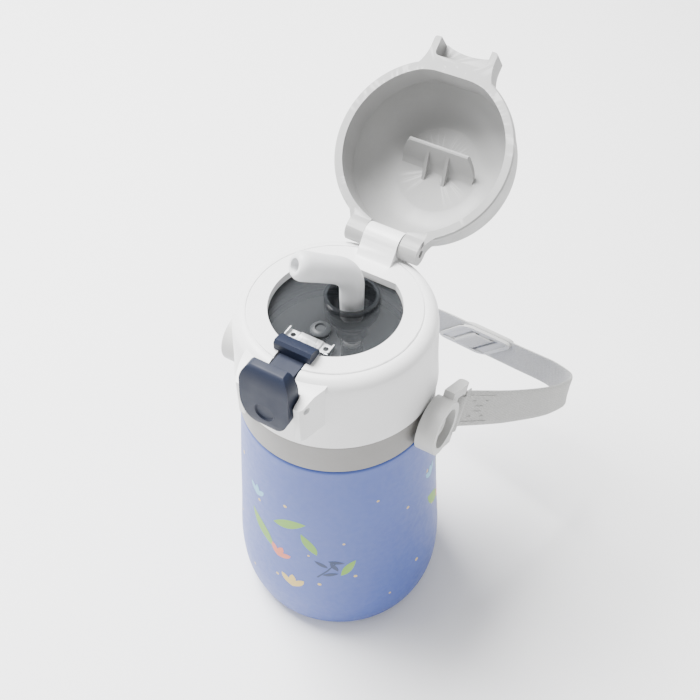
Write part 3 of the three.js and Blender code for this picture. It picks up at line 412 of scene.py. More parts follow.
def brushed(name, colour, stretch, roughness=0.26):
    """Brushed steel: hairlines drawn out across the stretch, and faint clouding."""
    s = Shade(name)
    hair = s.noise(240.0, 6.0, stretch, 0.7)
    cloud = s.ramp(s.noise(40.0, 2.0), 0.3, 0.7)
    base = s.blend(cloud, tint(colour, 0.93), tint(colour, 1.03))
    s.set(Base_Color=base, Metallic=1.0, Anisotropic=0.35)
    s.set(Roughness=s.ramp(hair, 0.3, 0.7, roughness - 0.08, roughness + 0.12))
    return s.bump(hair, 0.25, 0.00003).material


def smoked(name, colour, cover):
    """Smoked clear plastic: it covers what lies behind by a share, and fine handling marks dull it."""
    s = Shade(name)
    marks = s.ramp(s.noise(420.0, 4.0, (1.0, 0.3, 1.0), 0.6), 0.62, 0.8)
    s.set(Base_Color=s.blend(s.noise(40.0, 2.0), tint(colour, 0.94), tint(colour, 1.06)))
    s.set(Roughness=s.ramp(marks, 0.0, 1.0, 0.06, 0.13), IOR=1.49)
    s.set(Alpha=s.ramp(s.noise(30.0, 1.0), 0.3, 0.7, cover - 0.02, cover + 0.02))
    return s.material


def soft_rubber(name, colour, clear=0.25):
    """Milky silicone: light passes a little way in, and fine dust dulls it."""
    s = Shade(name)
    haze = s.ramp(s.noise(90.0, 3.0), 0.35, 0.7)
    s.set(Base_Color=s.blend(haze, tint(colour, 0.97), tint(colour, 1.03)))
    s.set(Roughness=s.ramp(s.noise(700.0, 3.0), 0.3, 0.7, 0.36, 0.52))
    s.set(Subsurface_Weight=0.35, Subsurface_Radius=(0.004, 0.004, 0.004), Transmission_Weight=clear)
    s.set(IOR=1.41, Sheen_Weight=0.15)
    return s.bump(s.noise(1800.0, 2.0), 0.12, 0.00004).material


def woven(name, colour):
    """Flat webbing: crossing yarns drawn on the band's own map, lengthwise along U."""
    s = Shade(name)
    band = s.add("ShaderNodeUVMap", uv_map="band").outputs["UV"]
    parts = s.add("ShaderNodeSeparateXYZ", {"Vector": band})
    warp = s.add("ShaderNodeMath", {0: parts.outputs["Y"], 1: math.tau * WARP_YARNS}, operation="MULTIPLY")
    weft = s.add("ShaderNodeMath", {0: parts.outputs["X"], 1: math.tau * WEFT_YARNS}, operation="MULTIPLY")
    lines = [
        s.add("ShaderNodeMath", {0: n.outputs[0]}, operation="SINE").outputs[0] for n in (warp, weft)
    ]
    check = s.add("ShaderNodeMath", {0: lines[0], 1: lines[1]}, operation="MULTIPLY").outputs[0]
    yarn = s.ramp(check, -1.0, 1.0)
    fuzz = s.noise(1700.0, 5.0, None, 0.75)
    base = s.blend(yarn, tint(colour, 0.82), tint(colour, 1.08))
    s.set(Base_Color=s.blend(s.ramp(fuzz, 0.38, 0.62), base, tint(colour, 0.74)))
    s.set(Roughness=s.ramp(fuzz, 0.3, 0.7, 0.82, 0.95), Sheen_Weight=0.35, Sheen_Roughness=0.4)
    mixed = s.add("ShaderNodeMath", {0: fuzz, 1: yarn}, operation="ADD").outputs[0]
    return s.bump(mixed, 0.5, 0.00012).material


MATERIALS = {}


def material(key):
    return MATERIALS[key]


# ------------------------------------------------------------------ node trees for shapes
def geometry_tree(name, sockets):
    """A new geometry tree with a Geometry input and the named inputs."""
    tree = bpy.data.node_groups.new(name, "GeometryNodeTree")
    tree.interface.new_socket("Geometry", in_out="INPUT", socket_type="NodeSocketGeometry")
    for label, kind, default in sockets:
        made = tree.interface.new_socket(label, in_out="INPUT", socket_type=kind)
        if default is not None:
            made.default_value = default
    tree.interface.new_socket("Geometry", in_out="OUTPUT", socket_type="NodeSocketGeometry")
    return tree, tree.nodes.new("NodeGroupInput"), tree.nodes.new("NodeGroupOutput")


def end_tree(tree, start, end, geometry):
    """Realizes the instances, sets the material and ends the tree."""
    real = tree.nodes.new("GeometryNodeRealizeInstances")
    paint = tree.nodes.new("GeometryNodeSetMaterial")
    tree.links.new(geometry, real.inputs[0])
    tree.links.new(real.outputs[0], paint.inputs["Geometry"])
    tree.links.new(start.outputs["Material"], paint.inputs["Material"])
    tree.links.new(paint.outputs[0], end.inputs[0])
    return tree


def coil_tree():
    """A wire of a given radius wound into a helix: a spring, or the bead of a screw thread."""
    tree, start, end = geometry_tree("Coil", [
        ("Radius", "NodeSocketFloat", 0.002), ("Height", "NodeSocketFloat", 0.004),
        ("Turns", "NodeSocketFloat", 4.0), ("Wire", "NodeSocketFloat", 0.0004),
        ("Steps", "NodeSocketInt", 32), ("Material", "NodeSocketMaterial", None),
    ])
    spiral = tree.nodes.new("GeometryNodeCurveSpiral")
    ring = tree.nodes.new("GeometryNodeCurvePrimitiveCircle")
    ring.inputs["Resolution"].default_value = 12
    sweep = tree.nodes.new("GeometryNodeCurveToMesh")
    sweep.inputs["Fill Caps"].default_value = True
    for source, target in (
        ("Steps", spiral.inputs["Resolution"]), ("Turns", spiral.inputs["Rotations"]),
        ("Radius", spiral.inputs["Start Radius"]), ("Radius", spiral.inputs["End Radius"]),
        ("Height", spiral.inputs["Height"]), ("Wire", ring.inputs["Radius"]),
    ):
        tree.links.new(start.outputs[source], target)
    tree.links.new(spiral.outputs[0], sweep.inputs["Curve"])
    tree.links.new(ring.outputs[0], sweep.inputs["Profile Curve"])
    smooth = tree.nodes.new("GeometryNodeSetShadeSmooth")
    tree.links.new(sweep.outputs[0], smooth.inputs[0])
    return end_tree(tree, start, end, smooth.outputs[0])


def repeat_tree():
    """Sets a small shape on every point of a mesh, turned by the points' own "turn" attribute."""
    tree, start, end = geometry_tree("Repeat", [
        ("Shape", "NodeSocketObject", None), ("Size", "NodeSocketFloat", 1.0),
        ("Size Variation", "NodeSocketFloat", 0.0), ("Seed", "NodeSocketInt", 4),
        ("Material", "NodeSocketMaterial", None),
    ])
    info = tree.nodes.new("GeometryNodeObjectInfo")
    put = tree.nodes.new("GeometryNodeInstanceOnPoints")
    turn = tree.nodes.new("GeometryNodeInputNamedAttribute")
    turn.data_type = "FLOAT_VECTOR"
    turn.inputs["Name"].default_value = "turn"
    vary = tree.nodes.new("FunctionNodeRandomValue")
    low = tree.nodes.new("ShaderNodeMath")
    low.operation = "SUBTRACT"
    tree.links.new(start.outputs["Size"], low.inputs[0])
    tree.links.new(start.outputs["Size Variation"], low.inputs[1])
    tree.links.new(low.outputs[0], vary.inputs[2])
    tree.links.new(start.outputs["Size"], vary.inputs[3])
    tree.links.new(start.outputs["Seed"], vary.inputs["Seed"])
    tree.links.new(start.outputs["Shape"], info.inputs["Object"])
    tree.links.new(start.outputs["Geometry"], put.inputs["Points"])
    tree.links.new(info.outputs["Geometry"], put.inputs["Instance"])
    tree.links.new(turn.outputs[0], put.inputs["Rotation"])
    tree.links.new(vary.outputs[1], put.inputs["Scale"])
    return end_tree(tree, start, end, put.outputs[0])


def grown(name, tree, values, base=None):
    """Runs a geometry tree on an object and keeps the plain mesh that it makes."""
    obj = base or mesh_object(name, [(0, 0, 0)], [])
    obj.name = name
    modifier = obj.modifiers.new("Shape", "NODES")
    modifier.node_group = tree
    idents = {i.name: i.identifier for i in tree.interface.items_tree if i.in_out == "INPUT"}
    for label, value in values.items():
        modifier[idents[label]] = value
    return evaluated(obj)


def coil(name, radius, height, turns, wire, finish, steps=32):
    """A coil in millimetres, standing on the origin along +Z."""
    return grown(name, bpy.data.node_groups["Coil"], {
        "Radius": radius * MM, "Height": height * MM, "Turns": turns, "Wire": wire * MM,
        "Steps": steps, "Material": finish,
    })


def thread(name, radius, z, finish):
    """The bead of a screw thread, wound up from a height."""
    return moved(coil(name, radius, THREAD_RISE, THREAD_TURNS, THREAD_BEAD, finish, 96), 0, 0, z)


def repeated(name, places, shape, finish, variation=0.0):
    """Copies of a shape at places, each a position in millimetres and a turn matrix."""
    points = mesh_object(name, [p for p, _ in places], [])
    attribute = points.data.attributes.new("turn", "FLOAT_VECTOR", "POINT")
    for i, (_, turn) in enumerate(places):
        attribute.data[i].vector = turn.to_euler("XYZ")
    made = grown(name, bpy.data.node_groups["Repeat"], {
        "Shape": shape, "Size": 1.0, "Size Variation": variation, "Seed": 4, "Material": finish,
    }, points)
    bpy.data.objects.remove(shape)
    made.data.shade_smooth()
    made.data.set_sharp_from_angle(angle=SHARP)
    return made


# ------------------------------------------------------------------ properties
class BottleSizes(bpy.types.PropertyGroup):
    """Sizes that a user may change"""

    belly_radius: bpy.props.FloatProperty(
        name="Belly Radius", description="Radius of the painted body at its widest", default=0.042,
        min=0.038, max=0.0425, subtype="DISTANCE", unit="LENGTH")
    base_radius: bpy.props.FloatProperty(
        name="Base Radius", description="Radius of the foot", default=0.034,
        min=0.033, max=0.036, subtype="DISTANCE", unit="LENGTH")
    spout_radius: bpy.props.FloatProperty(
        name="Spout Radius", description="Radius of the soft spout's arm", default=0.0047,
        min=0.004, max=0.005, subtype="DISTANCE", unit="LENGTH")
    strap_width: bpy.props.FloatProperty(
        name="Strap Width", description="Width of the webbing", default=0.015,
        min=0.012, max=0.0155, subtype="DISTANCE", unit="LENGTH")
    stitch_length: bpy.props.FloatProperty(
        name="Stitch Length", description="Length of one stitch in the strap's seams", default=0.0019,
        min=0.001, max=0.003, subtype="DISTANCE", unit="LENGTH")
    edge_round: bpy.props.FloatProperty(
        name="Edge Rounding", description="Radius of the cap's and the lid's moulded edges",
        default=0.00045, min=0.0001, max=0.0008, subtype="DISTANCE", unit="LENGTH")


class BottleColours(bpy.types.PropertyGroup):
    """Colours that a user may change"""

    body: bpy.props.FloatVectorProperty(
        name="Body", description="The powder coat", subtype="COLOR", size=3, min=0, max=1,
        default=(0.042, 0.082, 0.330))
    cap: bpy.props.FloatVectorProperty(
        name="Cap", description="The screw cap's plastic", subtype="COLOR", size=3, min=0, max=1,
        default=(0.80, 0.80, 0.80))
    lid: bpy.props.FloatVectorProperty(
        name="Lid", description="The flip lid's plastic", subtype="COLOR", size=3, min=0, max=1,
        default=(0.330, 0.330, 0.327))
    collar: bpy.props.FloatVectorProperty(
        name="Collar", description="The collar's plastic", subtype="COLOR", size=3, min=0, max=1,
        default=(0.215, 0.209, 0.200))
    latch: bpy.props.FloatVectorProperty(
        name="Latch", description="The push latch's plastic", subtype="COLOR", size=3, min=0, max=1,
        default=(0.0055, 0.0098, 0.026))
    clip: bpy.props.FloatVectorProperty(
        name="Clips", description="The clips and the slider", subtype="COLOR", size=3, min=0, max=1,
        default=(0.50, 0.50, 0.49))
    webbing: bpy.props.FloatVectorProperty(
        name="Webbing", description="The strap's yarn", subtype="COLOR", size=3, min=0, max=1,
        default=(0.50, 0.50, 0.488))


# ------------------------------------------------------------------ shared shapes
def body_line(sizes):
    """The painted outline from the foot to the shoulder, as (radius, height)."""
    base, belly = sizes.base_radius / MM, sizes.belly_radius / MM
    bulge, waist, rise = belly - base, COLLAR_R - 0.1, BODY_TOP - BELLY_Z
    points = [(base, 0.9), (base + bulge * 0.6, 2.9), (base + bulge * 0.9, 9.2), (belly, BELLY_Z)]
    points += [(belly - (belly - waist) * t, BELLY_Z + rise * t) for t in (0.3, 0.62)]
    points += [(waist, BODY_TOP - 4)]
    line = spline([(r, z, 0) for r, z in points], 10)
    return [(p.x, p.y) for p in line]


def radius_at(line, z):
    """The outline's radius at a height."""
    for (r0, z0), (r1, z1) in zip(line, line[1:]):
        if z0 <= z <= z1:
            return r0 + (r1 - r0) * (z - z0) / (z1 - z0)
    return line[-1][0]


def strap_path():
    """The webbing's middle line from the right clip to the left one, in millimetres."""
    half = [
        (54.3, 42, -26.5), (64.5, 62, -37), (66, 74, -42.5), (57, 81.5, -46.5), (38, 86, -50), (18, 88.9, -52),
    ]
    start = BAR_Y + BAR_R + 0.3 + STRAP_THICK / 2
    right = [(CLIP_MIDDLE, start * math.cos(STRAP_DROP), start * math.sin(STRAP_DROP)), *half]
    points = [*right, (0, 91.2, -53.4), *[(-x, y, z) for x, y, z in reversed(right)]]
    dense = spline([(x, y, z + STUD_Z) for x, y, z in points], 40)
    lengths = [0.0]
    for a, b in zip(dense, dense[1:]):
        lengths.append(lengths[-1] + (b - a).length)
    return dense, lengths


def along_strap(dense, lengths, distance):
    """The point, direction and width direction of the webbing at a distance from the right clip."""
    distance = min(max(distance, 0.0), lengths[-1])
    i = next(k for k in range(1, len(lengths)) if lengths[k] >= distance or k == len(lengths) - 1)
    share = (distance - lengths[i - 1]) / (lengths[i] - lengths[i - 1])
    point = dense[i - 1].lerp(dense[i], share)
    along = (dense[min(i + 1, len(dense) - 1)] - dense[max(i - 2, 0)]).normalized()
    t = distance / lengths[-1]
    lean = -STRAP_DROP * max(0.0, 1 - 3.2 * min(t, 1 - t))
    across = Vector((0, math.sin(lean), math.cos(lean)))
    across = (across - along * across.dot(along)).normalized()
    return point, along, across


def clip_place(side):
    """Where a clip, and the webbing sewn round its bar, hang on a stud."""
    place = Matrix.Translation((0, 0, STUD_Z * MM)) @ Matrix.Rotation(STRAP_DROP, 4, "X")
    return place if side > 0 else place @ Matrix.Rotation(math.pi, 4, "Y")


def band_mapped(obj, rise=0.0):
    """Maps a short run of webbing that lies along X, or along Y too by the rise, with its width along Z."""
    uv = obj.data.uv_layers.new(name="band")
    for loop in obj.data.loops:
        co = obj.data.vertices[loop.vertex_index].co
        uv.data[loop.index].uv = ((co.x + co.y * rise) / BAND_LENGTH, co.z / BAND_WIDTH + 0.5)
    return obj


# ------------------------------------------------------------------ operators
class Maker:
    """What the operators share: they may be undone, and they need the frame."""

    bl_options = {"REGISTER", "UNDO"}

    @classmethod
    def poll(cls, context):
        return bool(frame["nodes"])


class BOTTLE_OT_finishes(Maker, bpy.types.Operator):
    """Make the materials and the geometry trees that the pieces share"""

    bl_idname = "bottle.finishes"
    bl_label = "Finishes"

    def execute(self, context):
        c = context.scene.bottle_colours
        MATERIALS.update({
            "body": powder_coat("powder_coat_blue", c.body),
            "cap": moulded("cap_plastic", c.cap, 0.40, 0.12),
            "lid": moulded("lid_plastic", c.lid, 0.44, 0.22),
            "collar": moulded("collar_plastic", c.collar, 0.46, 0.25),
            "latch": moulded("latch_plastic", c.latch, 0.55, 0.3, 1900.0, 0.3),
            "clip": moulded("clip_plastic", c.clip, 0.46, 0.28),
            "window": smoked("smoked_clear", (0.075, 0.08, 0.086), 0.25),
            # The socket is the same smoked plastic as the plate, made darker and more opaque: painted shade
            # for the deep socket.
            "socket": smoked("smoked_socket_painted_shade", (0.025, 0.028, 0.032), 0.62),
            "spout": soft_rubber("milky_silicone", (0.84, 0.85, 0.86)),
            "seal": soft_rubber("seal_silicone", (0.62, 0.63, 0.64), 0.0),
            "dark_seal": soft_rubber("dark_silicone", (0.05, 0.055, 0.06), 0.0),
            "steel": brushed("brushed_steel", (0.74, 0.75, 0.77), (1.0, 1.0, 9.0), 0.38),
            "base_steel": brushed("turned_steel", (0.62, 0.62, 0.63), (6.0, 6.0, 1.0)),
            "wire": brushed("spring_wire", (0.66, 0.67, 0.68), (8.0, 1.0, 1.0), 0.3),
            "webbing": woven("webbing_weave", c.webbing),
            "thread": moulded("seam_thread", c.webbing, 0.75, 0.5),
            "ink_green": moulded("ink_green", (0.17, 0.36, 0.045), 0.55, 0.1),
            "ink_yellow": moulded("ink_yellow", (0.62, 0.46, 0.13), 0.55, 0.1),
            "ink_sky": moulded("ink_sky", (0.18, 0.44, 0.62), 0.55, 0.1),
            "ink_slate": moulded("ink_slate", (0.018, 0.036, 0.10), 0.55, 0.1),
            "ink_coral": moulded("ink_coral", (0.66, 0.17, 0.10), 0.55, 0.1),
        })
        coil_tree()
        repeat_tree()
        return {"FINISHED"}


class BOTTLE_OT_flask(Maker, bpy.types.Operator):
    """Make the painted shell, its neck thread, the liner and the base plate"""

    bl_idname = "bottle.flask"
    bl_label = "Flask"

    def execute(self, context):
        sizes = context.scene.bottle_sizes
        line = body_line(sizes)
        base = sizes.base_radius / MM
        shoulder = arc(COLLAR_R - 1.7, BODY_TOP - 1.6, 1.6, 0, 90, 6)
        inner = [(r - SHELL_WALL, z) for r, z in reversed(line)]
        profile = [
            (base - 3, 0), (base - 0.8, 0), (base - 0.25, 0.25), *line, *shoulder,
            (NECK_R, BODY_TOP), (NECK_R, NECK_TOP), (NECK_R - SHELL_WALL, NECK_TOP),
            (NECK_R - SHELL_WALL, BODY_TOP - SHELL_WALL), (COLLAR_R - 3, BODY_TOP - SHELL_WALL), *inner,
            (base - SHELL_WALL, SHELL_WALL), (base - 3, SHELL_WALL),
        ]
        shell = turned("body_shell", profile, sides=192)
        placed(dressed(shell, material("body"), 0), "flask", ["outer_shell"])
        placed(thread("neck_thread", NECK_R + 0.1, 126.8, material("steel")), "flask")
        floor_z, inset = 9.0, 3.9
        belly, wide, high = sizes.belly_radius / MM - inset, COLLAR_R - inset - 0.6, BODY_TOP - inset - 2
        outside = spline([
            (base - 6, floor_z, 0), (base + 1, floor_z + 4, 0), (belly, BELLY_Z + 2, 0), (wide, high - 8, 0),
            (LINER_R, high, 0)], 8)
        inside = spline([
            (BORE_R, high - 1, 0), (wide - 0.7, high - 9, 0), (belly - 0.7, BELLY_Z + 2, 0),
            (base + 0.4, floor_z + 4.6, 0), (base - 6.4, floor_z + 0.7, 0)], 8)
        liner = turned("liner", [
            (0, floor_z), *[(p.x, p.y) for p in outside], (LINER_R, NECK_TOP + 0.3), (NECK_R, NECK_TOP + 0.3),
            (NECK_R, NECK_TOP + 0.8), (NECK_R - 0.3, NECK_TOP + 1), (BORE_R + 0.3, NECK_TOP + 1),
            (BORE_R, NECK_TOP + 0.7), *[(p.x, p.y) for p in inside], (0, floor_z + 0.7),
        ], sides=144)
        placed(dressed(liner, material("steel"), 0), "flask", ["inner_liner"])
        rim = base - 3.3
        plate = turned("foot_plate", [
            (0, 0), (rim - 15.4, 0), (rim - 14.6, 0.3), (rim - 13.8, 0.9), (rim - 13, 1.2), (rim - 6.4, 1.2),
            (rim - 5.6, 0.9), (rim - 4.8, 0.3), (rim - 4, 0), (rim - 0.3, 0), (rim, 0.3), (rim, 0.9),
            (rim - 4, 0.9), (rim - 5.6, 2.1), (rim - 13.8, 2.1), (rim - 15.4, 0.9), (0, 0.9),
        ])
        placed(dressed(plate, material("base_steel"), 0), "flask", ["base_plate"])
        getter = frame["nodes"]["vacuum_getter"].data.materials
        getter.clear()
        getter.append(material("wire"))
        return {"FINISHED"}


def printed(name, line, centre_deg, centre_z, outline, turn, size, finish):
    """A thin printed patch laid on the body. The outline is in millimetres round its own middle."""
    c, s = math.cos(math.radians(turn)), math.sin(math.radians(turn))
    flat = [((a * c - b * s) * size, (a * s + b * c) * size) for a, b in outline]
    middle = (sum(p[0] for p in flat) / len(flat), sum(p[1] for p in flat) / len(flat))
    rings = [[(middle[0] + (a - middle[0]) * k, middle[1] + (b - middle[1]) * k) for a, b in flat]
             for k in (1.0, 0.66, 0.33)]
    verts, faces, n = [], [], len(flat)

    def on_body(a, b, lift):
        z = centre_z + b
        r = radius_at(line, z) + lift
        turn_to = math.radians(centre_deg) + a / r
        return (r * math.cos(turn_to), r * math.sin(turn_to), z)

    for lift in (0.05, -0.1):
        for ring in rings:
            verts += [on_body(a, b, lift) for a, b in ring]
        verts.append(on_body(*middle, lift))
    side = 3 * n + 1
    for base, flip in ((0, 1), (side, -1)):
        for k in range(n):
            m = (k + 1) % n
            for row in (0, n):
                faces.append((base + row + k, base + row + m, base + row + n + m, base + row + n + k)[::flip])
            faces.append((base + 2 * n + k, base + 2 * n + m, base + 3 * n)[::flip])
    faces += [(k, side + k, side + (k + 1) % n, (k + 1) % n) for k in range(n)]
    return dressed(mesh_object(name, verts, faces), finish, 0)


LEAF = [*bow((0, -4), (2.6, -1.5), (0.2, 4), 8), *bow((0.2, 4), (-2.4, 0.5), (0, -4), 8)[1:-1]]
PETAL = [*bow((0, 0), (1.9, 3.2), (0, 5), 6), *bow((0, 5), (-1.9, 3.2), (0, 0), 6)[1:-1]]
STEM = [(-0.25, -4.5), (0.25, -4.5), (0.5, 0), (0.2, 4.5), (-0.2, 4.5), (0.0, 0)]


class BOTTLE_OT_print(Maker, bpy.types.Operator):
    """Print a plain scatter of leaves, sprigs and dots round the body"""

    bl_idname = "bottle.print"
    bl_label = "Print"

    def execute(self, context):
        line = body_line(context.scene.bottle_sizes)
        inks = {"green": [], "yellow": [], "sky": [], "slate": [], "coral": []}

        def put(ink, deg, z, outline, turn, size):
            name = f"print_{ink}_{len(inks[ink])}"
            inks[ink].append(printed(name, line, deg, z, outline, turn, size * 1.3, material(f"ink_{ink}")))

        for step in range(3):
            at = -90 + 120 * step
            put("green", at + 2, 72, LEAF, -64, 1.5)
            put("green", at + 14, 63, LEAF, 30, 1.25)
            put("green", at - 18, 58, LEAF, 40, 1.8)
            put("green", at + 36, 50, LEAF, -30, 1.1)
            put("slate", at + 24, 48, STEM, -35, 1.1)
            for angle, dx, dz in ((30, 4.2, 2.8), (-75, 2.2, -2.4), (55, -3.0, 3.6), (-100, 5.6, 5.8)):
                put("slate", at + 24 + dx, 48 + dz, LEAF, angle, 0.62)
            for angle in (-38, 0, 38):
                put("yellow", at + 4, 31, PETAL, angle, 1.25)
                put("sky", at - 22, 76, PETAL, angle, 0.95)
                put("coral", at - 6, 47, PETAL, angle - 20, 1.15)
        for ink, patches in inks.items():
            bm = bmesh.new()
            for patch in patches:
                bm.from_mesh(patch.data)
            keep = patches[0]
            keep.data.clear_geometry()
            bm.to_mesh(keep.data)
            bm.free()
            for patch in patches[1:]:
                bpy.data.objects.remove(patch)
            keep.name = f"print_{ink}"
            placed(keep, "flask")
        dot = turned("dot", [(0, -0.1), (0.85, -0.1), (0.85, 0.03), (0.7, 0.06), (0, 0.06)], sides=20)
        spots = []
        for k in range(36):
            deg = -90 + 10 * k + (4 if k % 2 else 0)
            z = (82, 56, 38, 66, 44, 88, 24, 74, 34)[k % 9]
            r = radius_at(line, z)
            slope = (radius_at(line, z + 1) - radius_at(line, z - 1)) / 2
            t = math.radians(deg)
            normal = Vector((math.cos(t), math.sin(t), -slope)).normalized()
            spots.append(((r * math.cos(t), r * math.sin(t), z), normal.to_track_quat("Z", "Y").to_matrix()))
        dots = repeated("print_dots", spots, dot, material("ink_yellow"), 0.45)
        placed(dots, "flask")
        return {"FINISHED"}


class BOTTLE_OT_collar(Maker, bpy.types.Operator):
    """Make the collar round the neck and the two studs that carry the strap"""

    bl_idname = "bottle.collar"
    bl_label = "Collar"

    def execute(self, context):
        inner = NECK_R + 1.4
        body = turned("collar", [
            (inner, COLLAR_Z), (COLLAR_R - 0.8, COLLAR_Z), (COLLAR_R - 0.2, COLLAR_Z + 0.25),
            (COLLAR_R, COLLAR_Z + 0.9), (COLLAR_R, COLLAR_TOP - 0.9), (COLLAR_R - 0.2, COLLAR_TOP - 0.25),
            (COLLAR_R - 0.8, COLLAR_TOP), (inner, COLLAR_TOP),
        ], sides=192)
        bosses = [rod("boss", 5.4, a, b, 0, STUD_Z) for a, b in ((32.9, 36.3), (-36.3, -32.9))]
        holes = [rod("hole", 2.7, a, b, 0, STUD_Z) for a, b in ((28, 40), (-40, -28))]
        cut(joined(body, *bosses), *holes)
        placed(dressed(body, material("collar"), 0.3), "flask", ["collar_ring"])
        neck = CLIP_X + 2.5
        for name, side in (("stud_right", 1), ("stud_left", -1)):
            head = arc(0, 0, 1, 0, 90, 6)
            profile = [
                (0, 33.1), (2.4, 33.1), (2.4, neck), (4.1, neck), (4.4, neck + 0.3),
                *[(3.4 + a, neck + 1.6 + b) for a, b in head],
                (1.5, neck + 2.6), (1.2, neck + 2.1), (0, neck + 2.1),
            ]
            piece = turned(f"{name}_pin", profile, sides=64)
            moved(piece, 0, 0, STUD_Z, Matrix.Rotation(side * math.pi / 2, 4, "Y"))
            placed(dressed(piece, material("clip"), 0), "flask", [name])
        return {"FINISHED"}


class BOTTLE_OT_cap(Maker, bpy.types.Operator):
    """Make the screw cap with its window, its latch housing and its hinge barrel"""

    bl_idname = "bottle.cap"
    bl_label = "Cap"

    def execute(self, context):
        shoulder = arc(CAP_R - 4.7, 149.0, 4.4, 0, 90, 12)
        skin = turned("cap", [
            (0, CEILING), (CAP_INNER, CEILING), (CAP_INNER, CAP_Z), (CAP_R + 1.0, CAP_Z),
            (CAP_R + 1.3, CAP_Z + 0.3), (CAP_R + 1.12, CAP_Z + 3), (CAP_R + 0.91, CAP_Z + 5),
            (CAP_R + 0.45, CAP_Z + 12), (CAP_R, 147.2), *shoulder, (CAP_R - 4.95, 153.35),
            (CAP_R - 5.0, 153.0), (CAP_R - 5.3, 153.0), (CAP_R - 5.35, 153.4), (CAP_R - 5.6, CAP_TOP),
            (0, CAP_TOP),
        ], sides=192)
        front, half = PIN_Y - 2.4, 12.7
        housing = prism("housing", [
            (-half - 2.4, -CAP_R + 6), (-half - 2.4, -CAP_R + 3.4), (-half, front + 1), (-half + 1, front),
            (half - 1, front), (half, front + 1), (half + 2.4, -CAP_R + 3.4), (half + 2.4, -CAP_R + 6),
        ], "Z", PAD_LOW - 1, 152.0)
        slope = prism("slope", [
            (front - 1, 149.0), (front - 1, 156), (-CAP_R + 5, 156), (-CAP_R + 0.5, 152.6)], "X", -20, 20)
        cut(housing, slope)
        barrel = rod("barrel", BARREL_R, -BARREL_HALF, BARREL_HALF, HINGE_Y, HINGE_Z, sides=64)
        foot = prism("foot", [
            (HINGE_Y - 9.4, CAP_TOP - 1), (HINGE_Y - 9.4, CAP_TOP),
            *bow(
                (HINGE_Y - 8.4, CAP_TOP + 0.3), (HINGE_Y - 5.2, CAP_TOP + 3.6),
                (HINGE_Y - 3.4, HINGE_Z + 3.2), 6),
            (HINGE_Y, HINGE_Z + 2.6), (HINGE_Y + BARREL_R - 0.15, HINGE_Z),
            (HINGE_Y + BARREL_R - 0.6, HINGE_Z - 2.4), (CAP_R - 0.6, CAP_TOP - 9), (CAP_R - 2, CAP_TOP - 9),
        ], "X", -BARREL_HALF, BARREL_HALF)
        hollow = turned("hollow", [
            (0, CAP_Z - 1), (CAP_INNER, CAP_Z - 1), (CAP_INNER, CEILING), (0, CEILING)], sides=192)
        joined(skin, housing, barrel, foot)
        chord = math.degrees(math.asin(WINDOW_CHORD / WINDOW_R))
        opening = arc(0, 0, WINDOW_R, 180 - chord, 360 + chord, 90)
        window = prism("window", opening, "Z", CEILING - 1, CAP_TOP + 1)
        back = PAD_BACK + 0.3
        cut(
            skin, hollow, window,
            block("channel", -9.7, 9.7, PIN_Y - 8, back, PAD_LOW - 4, CAP_TOP + 4),
            block("slot", -5.2, 5.2, back - 1, -WINDOW_R + 4, CEILING - 0.2, CAP_TOP + 4),
            rod("latch_hole", 1.3, -15, 15, PIN_Y, PIN_Z),
            rod("hinge_hole", 1.4, -8, 8, HINGE_Y, HINGE_Z),
            rod("spring_well", 2.95, BARREL_HALF - 5.6, 8, HINGE_Y, HINGE_Z),
            rod("right_room", BARREL_R + 0.5, BARREL_HALF, BARREL_HALF + 8.2, HINGE_Y, HINGE_Z, sides=64),
            rod("left_room", BARREL_R + 0.5, -BARREL_HALF - 8.2, -BARREL_HALF, HINGE_Y, HINGE_Z, sides=64),
        )
        edge = context.scene.bottle_sizes.edge_round / MM
        placed(dressed(skin, material("cap"), edge), "cap", ["cap_shell"])
        placed(thread("cap_thread", CAP_INNER - 0.1, 124.8, material("cap")), "cap")
        return {"FINISHED"}


